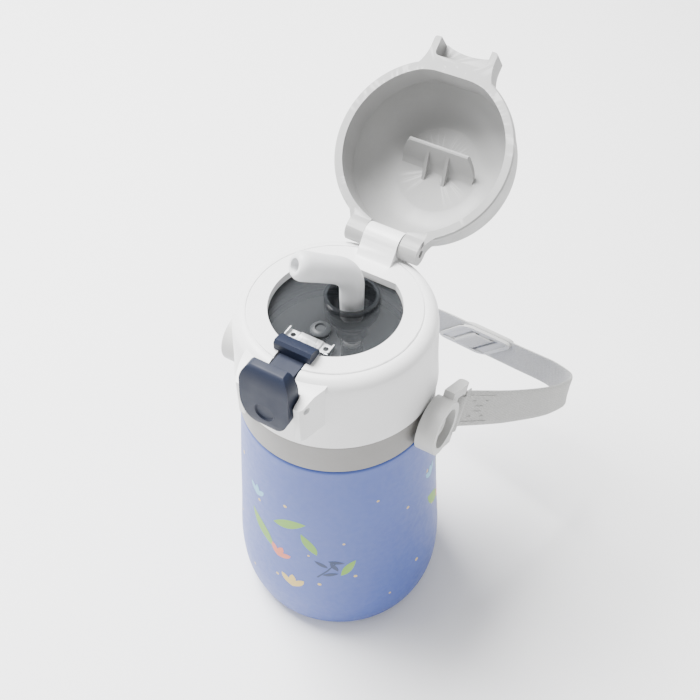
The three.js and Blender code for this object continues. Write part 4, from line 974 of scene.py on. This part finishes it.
class BOTTLE_OT_window(Maker, bpy.types.Operator):
    """Make the smoked insert, its seal, the vent valve and the bent metal strip"""

    bl_idname = "bottle.window"
    bl_label = "Window"

    def execute(self, context):
        x, y = SOCKET
        low, rim = INSERT_TOP - 2, CAP_INNER - 0.3
        vent_y, painted_shade_reach = -9.5, 9.7
        body = turned("insert", [
            (0, low), (PLUG_R - 2.6, low), (PLUG_R - 2, low - 0.6), (PLUG_R - 2, PLUG_Z), (PLUG_R, PLUG_Z),
            (PLUG_R, PLUG_Z + 2), (PLUG_R - 1, PLUG_Z + 2), (PLUG_R - 1, PLUG_Z + 5), (PLUG_R, PLUG_Z + 5),
            (PLUG_R, low - 1), (rim, low), (rim, INSERT_TOP), (0, INSERT_TOP),
        ], sides=144)
        cup = turned("cup", [
            (0, 133.3), (5.0, 133.3), (5.6, 133.9), (5.6, 137.0), (6.2, 137.6), (6.2, 138.6), (7.6, 141.3),
            (9.3, 143.6), (9.6, 144.6), (9.6, 150.0), (9.6, 151.6), (9.3, 152.0), (0, 152.0),
        ], x, y, 96)
        mouth = turned("mouth", [
            (0, SOCKET_FLOOR), (6.2, SOCKET_FLOOR), (7.6, 142.6), (8.3, 144.2), (8.3, 153), (0, 153),
        ], x, y, 96)
        bore = turned("bore", [(0, 132), (4.3, 132), (4.3, 142), (0, 142)], x, y, 64)
        vent = turned("vent", [
            (0, low - 1), (2.6, low - 1), (2.6, INSERT_TOP + 1), (0, INSERT_TOP + 1)], 0, vent_y, 48)
        cut(joined(body, cup), mouth, bore, vent)
        dressed(body, material("window"), 0.2)
        # Faces near the spout's socket take the darker smoked material, which is painted shade in the socket
        # on the same plastic.
        body.data.materials.append(material("socket"))
        for face in body.data.polygons:
            if math.hypot(face.center.x / MM - x, face.center.y / MM - y) < painted_shade_reach:
                face.material_index = 1
        placed(body, "cap", ["window_insert"])
        inner, z0, z1 = PLUG_R - 0.7, PLUG_Z + 2.3, PLUG_Z + 4.7
        seal = turned("plug_seal", [
            (inner, z0), (PLUG_R, z0), *arc(BORE_R - 1.2, (z0 + z1) / 2, 0.9, -60, 60, 8),
            (PLUG_R, z1), (inner, z1)])
        placed(dressed(seal, material("seal"), 0), "gasket", ["cap_gasket"])
        valve = turned("vent_plug", [
            (0, low - 1.6), (1.6, low - 1.5), (2.7, low - 1.2), (2.9, low - 0.6), (2.7, low - 0.3),
            (2.3, low - 0.3), (2.3, INSERT_TOP + 0.3), (3.4, INSERT_TOP + 0.3), (3.5, INSERT_TOP + 0.6),
            (3.0, INSERT_TOP + 1.3), (1.9, INSERT_TOP + 1.5), (1.6, INSERT_TOP + 0.9), (0, INSERT_TOP + 0.8),
        ], 0, vent_y, 64)
        placed(dressed(valve, material("dark_seal"), 0), "cap", ["vent_valve"])
        z = INSERT_TOP + 0.3
        strip = prism("strip", [
            (-8.5, z), (8.5, z), (8.5, z + 2), (7.9, z + 2), (7.9, z + 0.6), (4.6, z + 0.6), (4.2, z + 1.1),
            (-4.2, z + 1.1), (-4.6, z + 0.6), (-7.9, z + 0.6), (-7.9, z + 2), (-8.5, z + 2),
        ], "Y", -18.2, -14.2)
        cut(strip, *[rod("rivet_hole", 0.9, z - 1, z + 3, cx, -16.2, "Z", 24) for cx in (-6.2, 6.2)])
        placed(dressed(strip, material("wire"), 0.12), "cap", ["latch_strip"])
        return {"FINISHED"}


class BOTTLE_OT_spout(Maker, bpy.types.Operator):
    """Make the soft spout, the straw and the sleeve between them"""

    bl_idname = "bottle.spout"
    bl_label = "Spout"

    def execute(self, context):
        r = context.scene.bottle_sizes.spout_radius / MM
        x, y = SOCKET
        lean, tilt = math.radians(32), math.radians(30)
        way = Vector((-math.sin(lean) * math.cos(tilt), -math.cos(lean) * math.cos(tilt), math.sin(tilt)))
        corner = Vector((x, y, BEND_Z))
        below, beyond = corner - Vector((0, 0, 7.5)), corner + way * 7.5
        path = [Vector((x, y, SOCKET_FLOOR + 0.3)), Vector((x, y, 146)), Vector((x, y, 151))]
        path += [Vector(p) for p in bow(below, corner, beyond, 18)]
        path += [corner + way * d for d in (10, 13, 16, 18.5, 20.5, 21.8, 22.6, 23.0, 23.3)]
        reach = [(p - corner).length for p in path]
        leg_r = 4.25

        def outer(t):
            """The spout's outline at a share of its path: a plain leg, a fuller arm and a round tip."""
            i = round(t * (len(path) - 1))
            if i < 3:
                size = (leg_r - 0.15, leg_r - 0.15, leg_r)[i]
            else:
                size = leg_r + (r - leg_r) * min(1, (i - 3) / 10)
            tip = reach[i] - 20.5
            if i > 20 and tip > 0:
                size = (r + 0.25) * math.sqrt(max(0.0, 1 - (tip / 3.6) ** 2))
            elif i > 20:
                size = r + 0.25 * min(1, max(0, (reach[i] - 12) / 6))
            return circle(size, 40)

        spout = swept("spout", path, outer)
        through = [path[0] - UPRIGHT, *path[:-1], path[-1] + way * 2]
        cut(spout, swept("hole", through, lambda t: circle(2.2, 24)))
        dressed(spout, material("spout"), 0.25)
        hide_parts("spout_leg", "spout_arm")
        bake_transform(spout)
        low, high = 15.7, 129.3
        line = spline([
            (x, y, high), (x, y, high - 8), (x + 3, y + 1, high - 22), (x + 6, y + 2, (high + low) / 2),
            (x + 7, y + 3, low)], 14)
        straw = swept("straw", line, lambda t: circle(3.2, 28))
        inner = [line[0] + UPRIGHT, *line, line[-1] - UPRIGHT]
        cut(straw, swept("straw_bore", inner, lambda t: circle(2.3, 24)))
        placed(dressed(straw, material("spout"), 0), "cap", ["straw_tube"])
        sleeve = turned("sleeve", [
            (3.5, 120.3), (4.0, 120.3), (4.0, 121.2), (3.8, 121.6), (3.8, 123), (4.0, 123.4), (4.0, 128.3),
            (3.5, 128.3)], x, y, 48)
        placed(dressed(sleeve, material("dark_seal"), 0), "cap", ["straw_sleeve"])
        return {"FINISHED"}


class BOTTLE_OT_latch(Maker, bpy.types.Operator):
    """Make the push latch, its pin and its coil"""

    bl_idname = "bottle.latch"
    bl_label = "Latch"

    def execute(self, context):
        toe = bow((PAD_FRONT + 1.6, PAD_LOW), (PAD_FRONT + 0.1, PAD_LOW + 0.3), (PAD_FRONT, PAD_LOW + 4), 4)
        brow = bow(
            (PAD_BACK - 3.2, PAD_TOP - 0.3), (PAD_FRONT + 1.0, PAD_TOP - 1.8),
            (PAD_FRONT + 0.6, PAD_TOP - 9), 8)
        pad = prism("pad", [
            *toe[:0:-1], (PAD_FRONT + 1.6, PAD_LOW), (PAD_BACK - 4.2, PAD_LOW + 0.6),
            (PAD_BACK - 3.6, PAD_LOW + 6), (PAD_BACK, PAD_LOW + 9), (PAD_BACK, PAD_TOP - 0.6),
            (PAD_BACK - 0.4, PAD_TOP - 0.1), (PAD_BACK - 2.6, PAD_TOP - 0.1), *brow,
            (PAD_FRONT + 0.3, PAD_TOP - 12),
        ], "X", -PAD_HALF - 2, PAD_HALF + 2)
        low = arc(0, 0, 1, 180, 360, 32)
        top = PAD_TOP + 0.2
        face = prism("face", [
            *[(a * PAD_HALF, PAD_LOW + 11 + b * 11) for a, b in low], (PAD_HALF, PAD_TOP - 7),
            *bow((PAD_HALF, PAD_TOP - 6), (PAD_HALF - 0.6, PAD_TOP - 1.2), (PAD_HALF - 4, top), 8),
            *bow((-PAD_HALF + 4, top), (-PAD_HALF + 0.6, PAD_TOP - 1.2), (-PAD_HALF, PAD_TOP - 6), 8),
        ], "Y", PAD_FRONT - 2, PAD_BACK + 2)
        shared(pad, face)
        front, back = LID_FLAT_Y + 1.1, LID_FLAT_Y + 6.9
        z = CAP_TOP + 0.3
        neck = block("neck", -4.6, 4.6, PAD_BACK - 2, front + 2, CEILING + 0.3, CAP_TOP - 0.4)
        riser = block("riser", -4.6, 4.6, front, front + 3, CAP_TOP - 1.4, z + 1)
        hook = prism("hook", [
            (front, z), (back - 1, z), (back, z + 1), (back - 0.6, z + 2.4), (back - 2.4, z + 3.5),
            (front + 1, z + 3.8), (front, z + 2.8)], "X", -6.8, 6.8)
        dimple = turned("dimple", [(0, 0), (3.6, 0), (3.6, 2.3), (3.2, 2.75), (0, 2.85)], sides=64)
        moved(dimple, 0, PAD_FRONT - 2.1, PAD_LOW + 8.2, Matrix.Rotation(-math.pi / 2, 4, "X"))
        joined(pad, neck, riser, hook)
        cut(pad, rod("pin_hole", 1.3, -12, 12, PIN_Y, PIN_Z), dimple)
        placed(dressed(pad, material("latch"), 0.4), "latch", ["latch"])
        pin = rod("latch_axle", 1.0, -12.1, 12.1, PIN_Y, PIN_Z)
        placed(dressed(pin, material("wire"), 0.2), "cap", ["latch_pin"])
        start, end, middle = PAD_BACK + 0.3, PAD_BACK - 3.9, PAD_LOW + 4.2
        spring = coil("latch_coil", 2.05, start - end - 0.7, 3.0, 0.35, material("wire"))
        moved(spring, 0, start - 0.35, middle, Matrix.Rotation(math.pi / 2, 4, "X"))
        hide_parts("latch_spring")
        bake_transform(spring)
        return {"FINISHED"}


class BOTTLE_OT_lid(Maker, bpy.types.Operator):
    """Make the flip lid with its tab, its inner ledge and its hinge, standing open"""

    bl_idname = "bottle.lid"
    bl_label = "Lid"

    def execute(self, context):
        top = LID_Z + LID_HEIGHT
        outer_r = LID_R - 0.8

        def dome(r, height, count):
            """The lid's rounded outline, from its crown down to its side."""
            return [
                (r * (1 - 0.52 * (1 - math.cos(t))), height - LID_HEIGHT * 0.46 * (1 - math.sin(t)))
                for t in (math.pi / 2 * (0.04 + 0.9 * i / count) for i in range(count + 1))
            ]

        outside, inside = dome(outer_r - 0.6, top, 24), dome(LID_INNER - 0.4, top - 2.2, 24)
        bowl = turned("lid", [
            (0, top - 2.2), *reversed(inside), (LID_INNER - 0.6, LID_Z), (LID_R - 0.5, LID_Z),
            (LID_R, LID_Z + 0.5), (LID_R, LID_Z + 2.5), (LID_R - 0.3, LID_Z + 3.1), (outer_r, LID_Z + 3.6),
            *outside, (outside[-1][0] * 0.6, top), (0, top),
        ], sides=192)
        wall = shared(
            prism("wall", [
                (-LID_R, LID_Z), (LID_FLAT_Y, LID_Z), (LID_FLAT_Y, LID_Z + 10), (LID_FLAT_Y - 0.2, LID_Z + 12),
                (-LID_R + 2, LID_Z + 18), (-LID_R, LID_Z + 18)], "X", -LID_R, LID_R),
            turned("round", [
                (0, LID_Z), (outer_r - 1, LID_Z), (outer_r - 1, LID_Z + 11.8),
                *[(a - 0.8, b - 0.8) for a, b in outside], (0, top - 0.8)], sides=144))
        neck_y, half, reach = -(LID_R - 2.6), 12.0, -39.4
        tab = prism("tab", [
            *bow((-half - 4.5, neck_y + 4.5), (-half, neck_y - 0.6), (-half, reach + 3.5), 12),
            (-half, reach + 1.2), *bow((-half, reach + 1.1), (-half, reach), (-half + 1.3, reach), 4),
            *bow((half - 1.3, reach), (half, reach), (half, reach + 1.1), 4), (half, reach + 1.2),
            *bow((half, reach + 3.5), (half, neck_y - 0.6), (half + 4.5, neck_y + 4.5), 12),
        ], "Z", LID_Z, LID_Z + 9)
        lugs = []
        for side in (-1, 1):
            near, far = side * (BARREL_HALF + 0.3), side * (BARREL_HALF + 0.3 + LUG_WIDTH)
            r = BARREL_R - 0.5
            lugs.append(prism("lug", [
                (HINGE_Y - 7, LID_Z), (HINGE_Y - 4.4, LID_Z - 0.05), (HINGE_Y - 2.9, HINGE_Z - r + 0.75),
                *arc(HINGE_Y, HINGE_Z, r, -110, 90, 32), (HINGE_Y - 7, HINGE_Z + r),
            ], "X", *sorted((near, far))))
            lugs.append(prism("arm", [
                (near, HINGE_Y), (far, HINGE_Y),
                *bow((far, HINGE_Y - 1), (far + side, HINGE_Y - 6), (side * LID_R * 0.72, LID_R * 0.66), 12),
                (near, LID_R * 0.8)], "Z", LID_Z, HINGE_Z + BARREL_R * 0.86))
        joined(bowl, wall, tab, *lugs)
        r, flat_half = LID_INNER - 0.4, 12.5
        start = math.degrees(math.asin(flat_half / r))
        end_y = -math.sqrt(r * r - flat_half**2)
        cavity = prism("cavity", [
            *arc(0, 0, r, -90 + start, 270 - start, 160),
            *bow((-flat_half, end_y), (-flat_half + 3.4, LID_FLAT_Y), (-flat_half + 7.5, LID_FLAT_Y), 10)[1:],
            *bow((flat_half - 7.5, LID_FLAT_Y), (flat_half - 3.4, LID_FLAT_Y), (flat_half, end_y), 10)[:-1],
        ], "Z", LID_Z - 1, LID_Z + 11.8)
        notch = shared(
            rod("notch", 26, LID_Z + 6.2, LID_Z + 10, 0, reach - 24.4, "Z", 160),
            block("between", -9.6, 9.6, -60, 0, LID_Z, LID_Z + 11))
        b = BARREL_HALF + 0.3
        cut(
            bowl, cavity, notch,
            prism("pocket", [
                (9.6, reach - 2), *bow((9.6, PAD_BACK + 2.4), (9.6, PAD_BACK + 4), (8, PAD_BACK + 4), 6),
                *bow((-8, PAD_BACK + 4), (-9.6, PAD_BACK + 4), (-9.6, PAD_BACK + 2.4), 6), (-9.6, reach - 2),
            ], "Z", LID_Z - 1, LID_Z + 7.2),
            rod("room", BARREL_R + 0.6, -b, b, HINGE_Y, HINGE_Z, sides=64),
            block("room_low", -b, b, HINGE_Y - 11, HINGE_Y + 8, LID_Z - 1, HINGE_Z + 2.9),
            block("room_back", -b, b, HINGE_Y, HINGE_Y + 8, LID_Z - 1, HINGE_Z + BARREL_R + 2),
            rod("pin_hole", 1.4, -b - 8, b + 8, HINGE_Y, HINGE_Z),
            block("cap_room", -60, 60, -60, HINGE_Y - 7, CAP_TOP - 20, LID_Z),
        )
        y0, edge_z = -6.6, top - 1.1
        low = edge_z - 10
        ledge = prism("ledge", [
            (y0, low + 0.5), (y0 + 0.7, low), (y0 + 1.3, low + 0.2),
            *bow((y0 + 5.2, low + 6), (y0 + 7, edge_z - 0.6), (y0 + 12, edge_z), 6),
            (y0 + 5.4, edge_z), (y0 + 3.8, low + 6)], "X", -14.4, 14.4)
        cut(ledge, *[
            prism("trim", [
                (side * 16, low - 1), (side * 11.6, low - 1),
                *bow((side * 11.8, low + 0.4), (side * 14.2, low + 3), (side * 15.2, edge_z), 6),
                (side * 16, edge_z)], "Y", -12, 8)
            for side in (-1, 1)
        ])
        gusset = [(y0 + 1.2, low + 0.9), (y0 + 13.5, edge_z), (y0 + 5, edge_z)]
        gussets = [prism("gusset", gusset, "X", x - 0.6, x + 0.6) for x in (-4, 4)]
        joined(bowl, ledge, *gussets)
        edge = context.scene.bottle_sizes.edge_round / MM
        turn_mesh(bowl, about_x(LID_OPEN, HINGE_Y, HINGE_Z))
        placed(dressed(bowl, material("lid"), edge), "lid", ["lid_shell"])
        reach_x = BARREL_HALF + 0.3 + LUG_WIDTH - 0.6
        pin = rod("hinge_axle", 1.1, -reach_x, reach_x, HINGE_Y, HINGE_Z)
        placed(dressed(pin, material("wire"), 0.2), "lid", ["lid_pin"])
        height = 4.2
        spring = coil("hinge_coil", 2.2, height, 4.0, 0.45, material("wire"))
        moved(spring, BARREL_HALF - 2.75 - height / 2, HINGE_Y, HINGE_Z, Matrix.Rotation(math.pi / 2, 4, "Y"))
        placed(spring, "cap", ["lid_spring"])
        return {"FINISHED"}


class BOTTLE_OT_clips(Maker, bpy.types.Operator):
    """Make the two clips that hang the strap on its studs"""

    bl_idname = "bottle.clips"
    bl_label = "Clips"

    def execute(self, context):
        far = CLIP_X + CLIP_DEPTH
        half = STRAP_WIDTH / 2 + 1
        for node, side in (("clip_right", 1), ("clip_left", -1)):
            body = rod(f"{node}_body", 10, CLIP_X, far, 0, 0, sides=96)
            bridge = block("bridge", CLIP_MIDDLE - 2, CLIP_MIDDLE + 2, 4, 9, -half - 1, half + 1)
            outline = [(CLIP_MIDDLE - 2, 3), (CLIP_MIDDLE + 2, 3), *arc(CLIP_MIDDLE, BAR_Y, 2, 0, 180, 16)]
            arms = [prism("arm", outline, "Z", *sorted((s * half, s * (half + 3.6)))) for s in (-1, 1)]
            bar = rod("bar", BAR_R, -half - 3.6, half + 3.6, CLIP_MIDDLE, BAR_Y, "Z", 40)
            joined(body, bridge, *arms, bar)
            recess = rod("recess", 7.4, CLIP_X + 2.2, far + 1, 0, 0, sides=96)
            cut(body, recess, rod("hole", 2.7, CLIP_X - 1, far + 1, 0, 0))
            dressed(body, material("clip"), 0.95, 40)
            placed(turn_mesh(body, clip_place(side)), "strap", [node])
        return {"FINISHED"}


def webbing_band(width, dense, lengths, steps=420, columns=16):
    """The long run of webbing, mapped lengthwise along U, and its middle line."""
    places = [along_strap(dense, lengths, lengths[-1] * i / steps) for i in range(steps + 1)]
    centres = [p for p, _, _ in places]
    ring = 2 * (columns + 1)

    def section(t):
        ribbed, selvedge = 0.52 + 0.06 * math.sin(t * steps * math.pi / 1.5), 0.28
        up = [
            (-width / 2 + width * k / columns, ribbed if 0 < k < columns else selvedge)
            for k in range(columns + 1)
        ]
        return [*up, *[(a, -b) for a, b in reversed(up)]]

    band = swept("webbing", centres, section, [across for _, _, across in places])
    uv = band.data.uv_layers.new(name="band")
    for loop in band.data.loops:
        i, k = divmod(loop.vertex_index, ring)
        across = k if k <= columns else ring - 1 - k
        uv.data[loop.index].uv = (min(i, steps) / steps, across / columns)
    return band, centres


def sewn_ends(width):
    """The webbing that is folded round each clip's bar."""
    ends = []
    for name, side in (("right", 1), ("left", -1)):
        loop = [
            (-1.25, BAR_Y + 9), (-1.3, BAR_Y + 6), (-1.9, BAR_Y + 2.5),
            *arc(0, BAR_Y, BAR_R + 0.5, 170, 370, 20),
            (1.9, BAR_Y + 2.5), (1.3, BAR_Y + 6), (1.25, BAR_Y + 9),
        ]
        path = spline([(CLIP_MIDDLE + a, b, 0) for a, b in loop], 2)
        fold = swept(
            f"webbing_end_{name}", path, lambda t: rounded_box(width / 2, 0.3, 0.2, 2), [UPRIGHT] * len(path))
        ends.append(turn_mesh(band_mapped(fold, 1.0), clip_place(side)))
    return ends


def seam_places(pitch, dense, lengths):
    """Where the stitches lie on both faces of both ends: two rows with a cross between them."""
    seams = []
    total, count, inset, half = lengths[-1], 6, 5.0, 5.4
    for start, sign in ((inset, 1), (total - inset, -1)):
        rows = [(start + sign * pitch * k, v) for k in range(count) for v in (-half, half)]
        for s in (-1, 1):
            rows += [
                (start + sign * pitch * k, s * (half - 2 * half * k / (count - 1)))
                for k in range(1, count - 1)
            ]
        for distance, v in rows:
            p, along, across = along_strap(dense, lengths, distance)
            out = along.cross(across)
            turn = Matrix((along, across, out)).transposed()
            seams += [(tuple(p + across * v + out * lift), turn) for lift in (0.62, -0.62)]
    return seams


def slider_place(dense, lengths):
    """Where the slider sits on the strap's back run, with its length along the webbing."""
    total, parts = lengths[-1], 2000
    passed = (
        d for d in range(400, 1000) if along_strap(dense, lengths, total * d / parts)[0].x <= BUCKLE_X
    )
    p, along, _ = along_strap(dense, lengths, total * next(passed) / parts)
    # The upright isn't squared to the webbing, so the slider leans along it and comes out thinner.
    up = (UPRIGHT - along).normalized()
    return Matrix.Translation(p * MM) @ Matrix((along, up.cross(along), up)).transposed().to_4x4()


def slider():
    """The slider's rounded plate, with its two slots, its passage and its dished ends."""
    high = STRAP_WIDTH / 2 + 0.8
    return cut(
        prism("slider", rounded_box(13, 10.5, 5, 12), "Y", -2.8, 2.8),
        block("slot_a", 2.5, 6.7, -10, 10, -high, high), block("slot_b", -6.7, -2.5, -10, 10, -high, high),
        block("passage", -26, 26, -1.9, 1.9, -high, high),
        *[block("dish", x, x + 4.2, y, y + 2, -high, high) for x in (-10.8, 6.6) for y in (2.0, -4.0)])


class BOTTLE_OT_strap(Maker, bpy.types.Operator):
    """Make the webbing, the ends sewn round the clips, the stitches and the slider"""

    bl_idname = "bottle.strap"
    bl_label = "Strap"

    def execute(self, context):
        sizes = context.scene.bottle_sizes
        width, stitch_long = sizes.strap_width / MM - 0.2, sizes.stitch_length / MM
        dense, lengths = strap_path()
        web, centres = webbing_band(width, dense, lengths)
        placed(dressed(web, material("webbing"), 0), "strap", ["strap_webbing"])
        ends = [
            placed(dressed(end, material("webbing"), 0), "strap")
            for end in sewn_ends(width - 0.3)
        ]
        hump = [
            Vector((x, 0, 0.14 * math.cos(x / stitch_long * math.pi)))
            for x in (-stitch_long / 2, -stitch_long / 4, 0, stitch_long / 4, stitch_long / 2)
        ]
        stitch = swept("stitch", hump, lambda t: circle(0.17, 6))
        seams = seam_places(stitch_long + 0.5, dense, lengths)
        sewn = placed(repeated("strap_stitches", seams, stitch, material("thread")), "strap")

        place = slider_place(dense, lengths)
        buckle = turn_mesh(dressed(slider(), material("clip"), 0.85, 40), place)
        placed(buckle, "buckle", ["strap_buckle"])
        side = [(4.6, 0.9, 0), (4.9, 1.9, 0), (4.5, 2.8, 0), (3.4, 3.2, 0), (1.5, 3.3, 0)]
        path = spline([*side, (0, 3.32, 0), *[(-x, y, z) for x, y, z in reversed(side)]], 3)
        over = swept(
            "webbing_over_bar", path, lambda t: rounded_box((width - 0.4) / 2, 0.32, 0.2, 2),
            [UPRIGHT] * len(path))
        turn_mesh(band_mapped(over), place)
        placed(dressed(over, material("webbing"), 0), "buckle")
        return {"FINISHED"}


class BOTTLE_OT_stage(Maker, bpy.types.Operator):
    """Set the floor, the studio light and the camera"""

    bl_idname = "bottle.stage"
    bl_label = "Stage"

    def execute(self, context):
        scene = context.scene
        far = 3000
        corners = [(-far, -far, 0), (far, -far, 0), (far, far, 0), (-far, far, 0)]
        floor = mesh_object("floor", corners, [(0, 1, 2, 3)])
        s = Shade("studio_floor")
        paper = s.blend(s.noise(6.0, 2.0), (0.90, 0.90, 0.90, 1), (0.92, 0.92, 0.92, 1))
        s.set(Base_Color=paper, Roughness=0.85)
        floor.data.materials.append(s.material)
        world = bpy.data.worlds.new("studio")
        world.use_nodes = True
        sky = world.node_tree.nodes["Background"].inputs
        sky["Color"].default_value, sky["Strength"].default_value = (1.0, 1.0, 1.0, 1), 0.85
        scene.world = world
        for name, place, power, size in (
            ("key", (-0.55, 0.1, 1.2), 70.0, 0.7), ("fill", (0.9, -0.9, 0.7), 2.0, 1.2),
            ("rim", (-0.9, -0.6, 0.35), 7.0, 0.5),
        ):
            lamp = bpy.data.lights.new(name, "AREA")
            lamp.energy, lamp.size = power, size
            holder = bpy.data.objects.new(name, lamp)
            holder.location = place
            aim = Vector((0, 0, 0.1)) - Vector(place)
            holder.rotation_euler = aim.to_track_quat("-Z", "Y").to_euler()
            scene.collection.objects.link(holder)
        view = bpy.data.cameras.new("camera")
        view.sensor_width, view.lens, view.clip_start = 36.0, 49.13, 0.02
        camera = bpy.data.objects.new("camera", view)
        right, up, back = (0.8602, 0.5100, -0.0035), (-0.3794, 0.6444, 0.6641), (0.3410, -0.5699, 0.7477)
        turn = Matrix((right, up, back)).transposed().to_quaternion().to_matrix()
        camera.matrix_world = Matrix.Translation((0.1174, -0.1870, 0.3799)) @ turn.to_4x4()
        scene.collection.objects.link(camera)
        scene.camera = camera
        return {"FINISHED"}


OPERATORS = (
    BOTTLE_OT_finishes, BOTTLE_OT_stage, BOTTLE_OT_strap, BOTTLE_OT_clips, BOTTLE_OT_flask, BOTTLE_OT_print,
    BOTTLE_OT_collar, BOTTLE_OT_cap, BOTTLE_OT_window, BOTTLE_OT_spout, BOTTLE_OT_latch, BOTTLE_OT_lid,
)


class BOTTLE_PT_panel(bpy.types.Panel):
    """Lists the bottle's pieces, sizes and colours"""

    bl_label = "Bottle"
    bl_space_type = "VIEW_3D"
    bl_region_type = "UI"
    bl_category = "Bottle"

    def draw(self, context):
        for group in (context.scene.bottle_sizes, context.scene.bottle_colours):
            box = self.layout.box()
            for key in group.bl_rna.properties.keys():
                if key not in {"rna_type", "name"}:
                    box.prop(group, key)
        for operator in OPERATORS:
            self.layout.operator(operator.bl_idname)


CLASSES = (BottleSizes, BottleColours, *OPERATORS, BOTTLE_PT_panel)


def register():
    for cls in CLASSES:
        bpy.utils.register_class(cls)
    bpy.types.Scene.bottle_sizes = bpy.props.PointerProperty(type=BottleSizes)
    bpy.types.Scene.bottle_colours = bpy.props.PointerProperty(type=BottleColours)


def unregister():
    del bpy.types.Scene.bottle_colours
    del bpy.types.Scene.bottle_sizes
    for cls in reversed(CLASSES):
        bpy.utils.unregister_class(cls)


def main():
    register()
    for operator in OPERATORS:
        getattr(bpy.ops.bottle, operator.bl_idname.split(".")[1])()


if __name__ == "__main__":
    main()
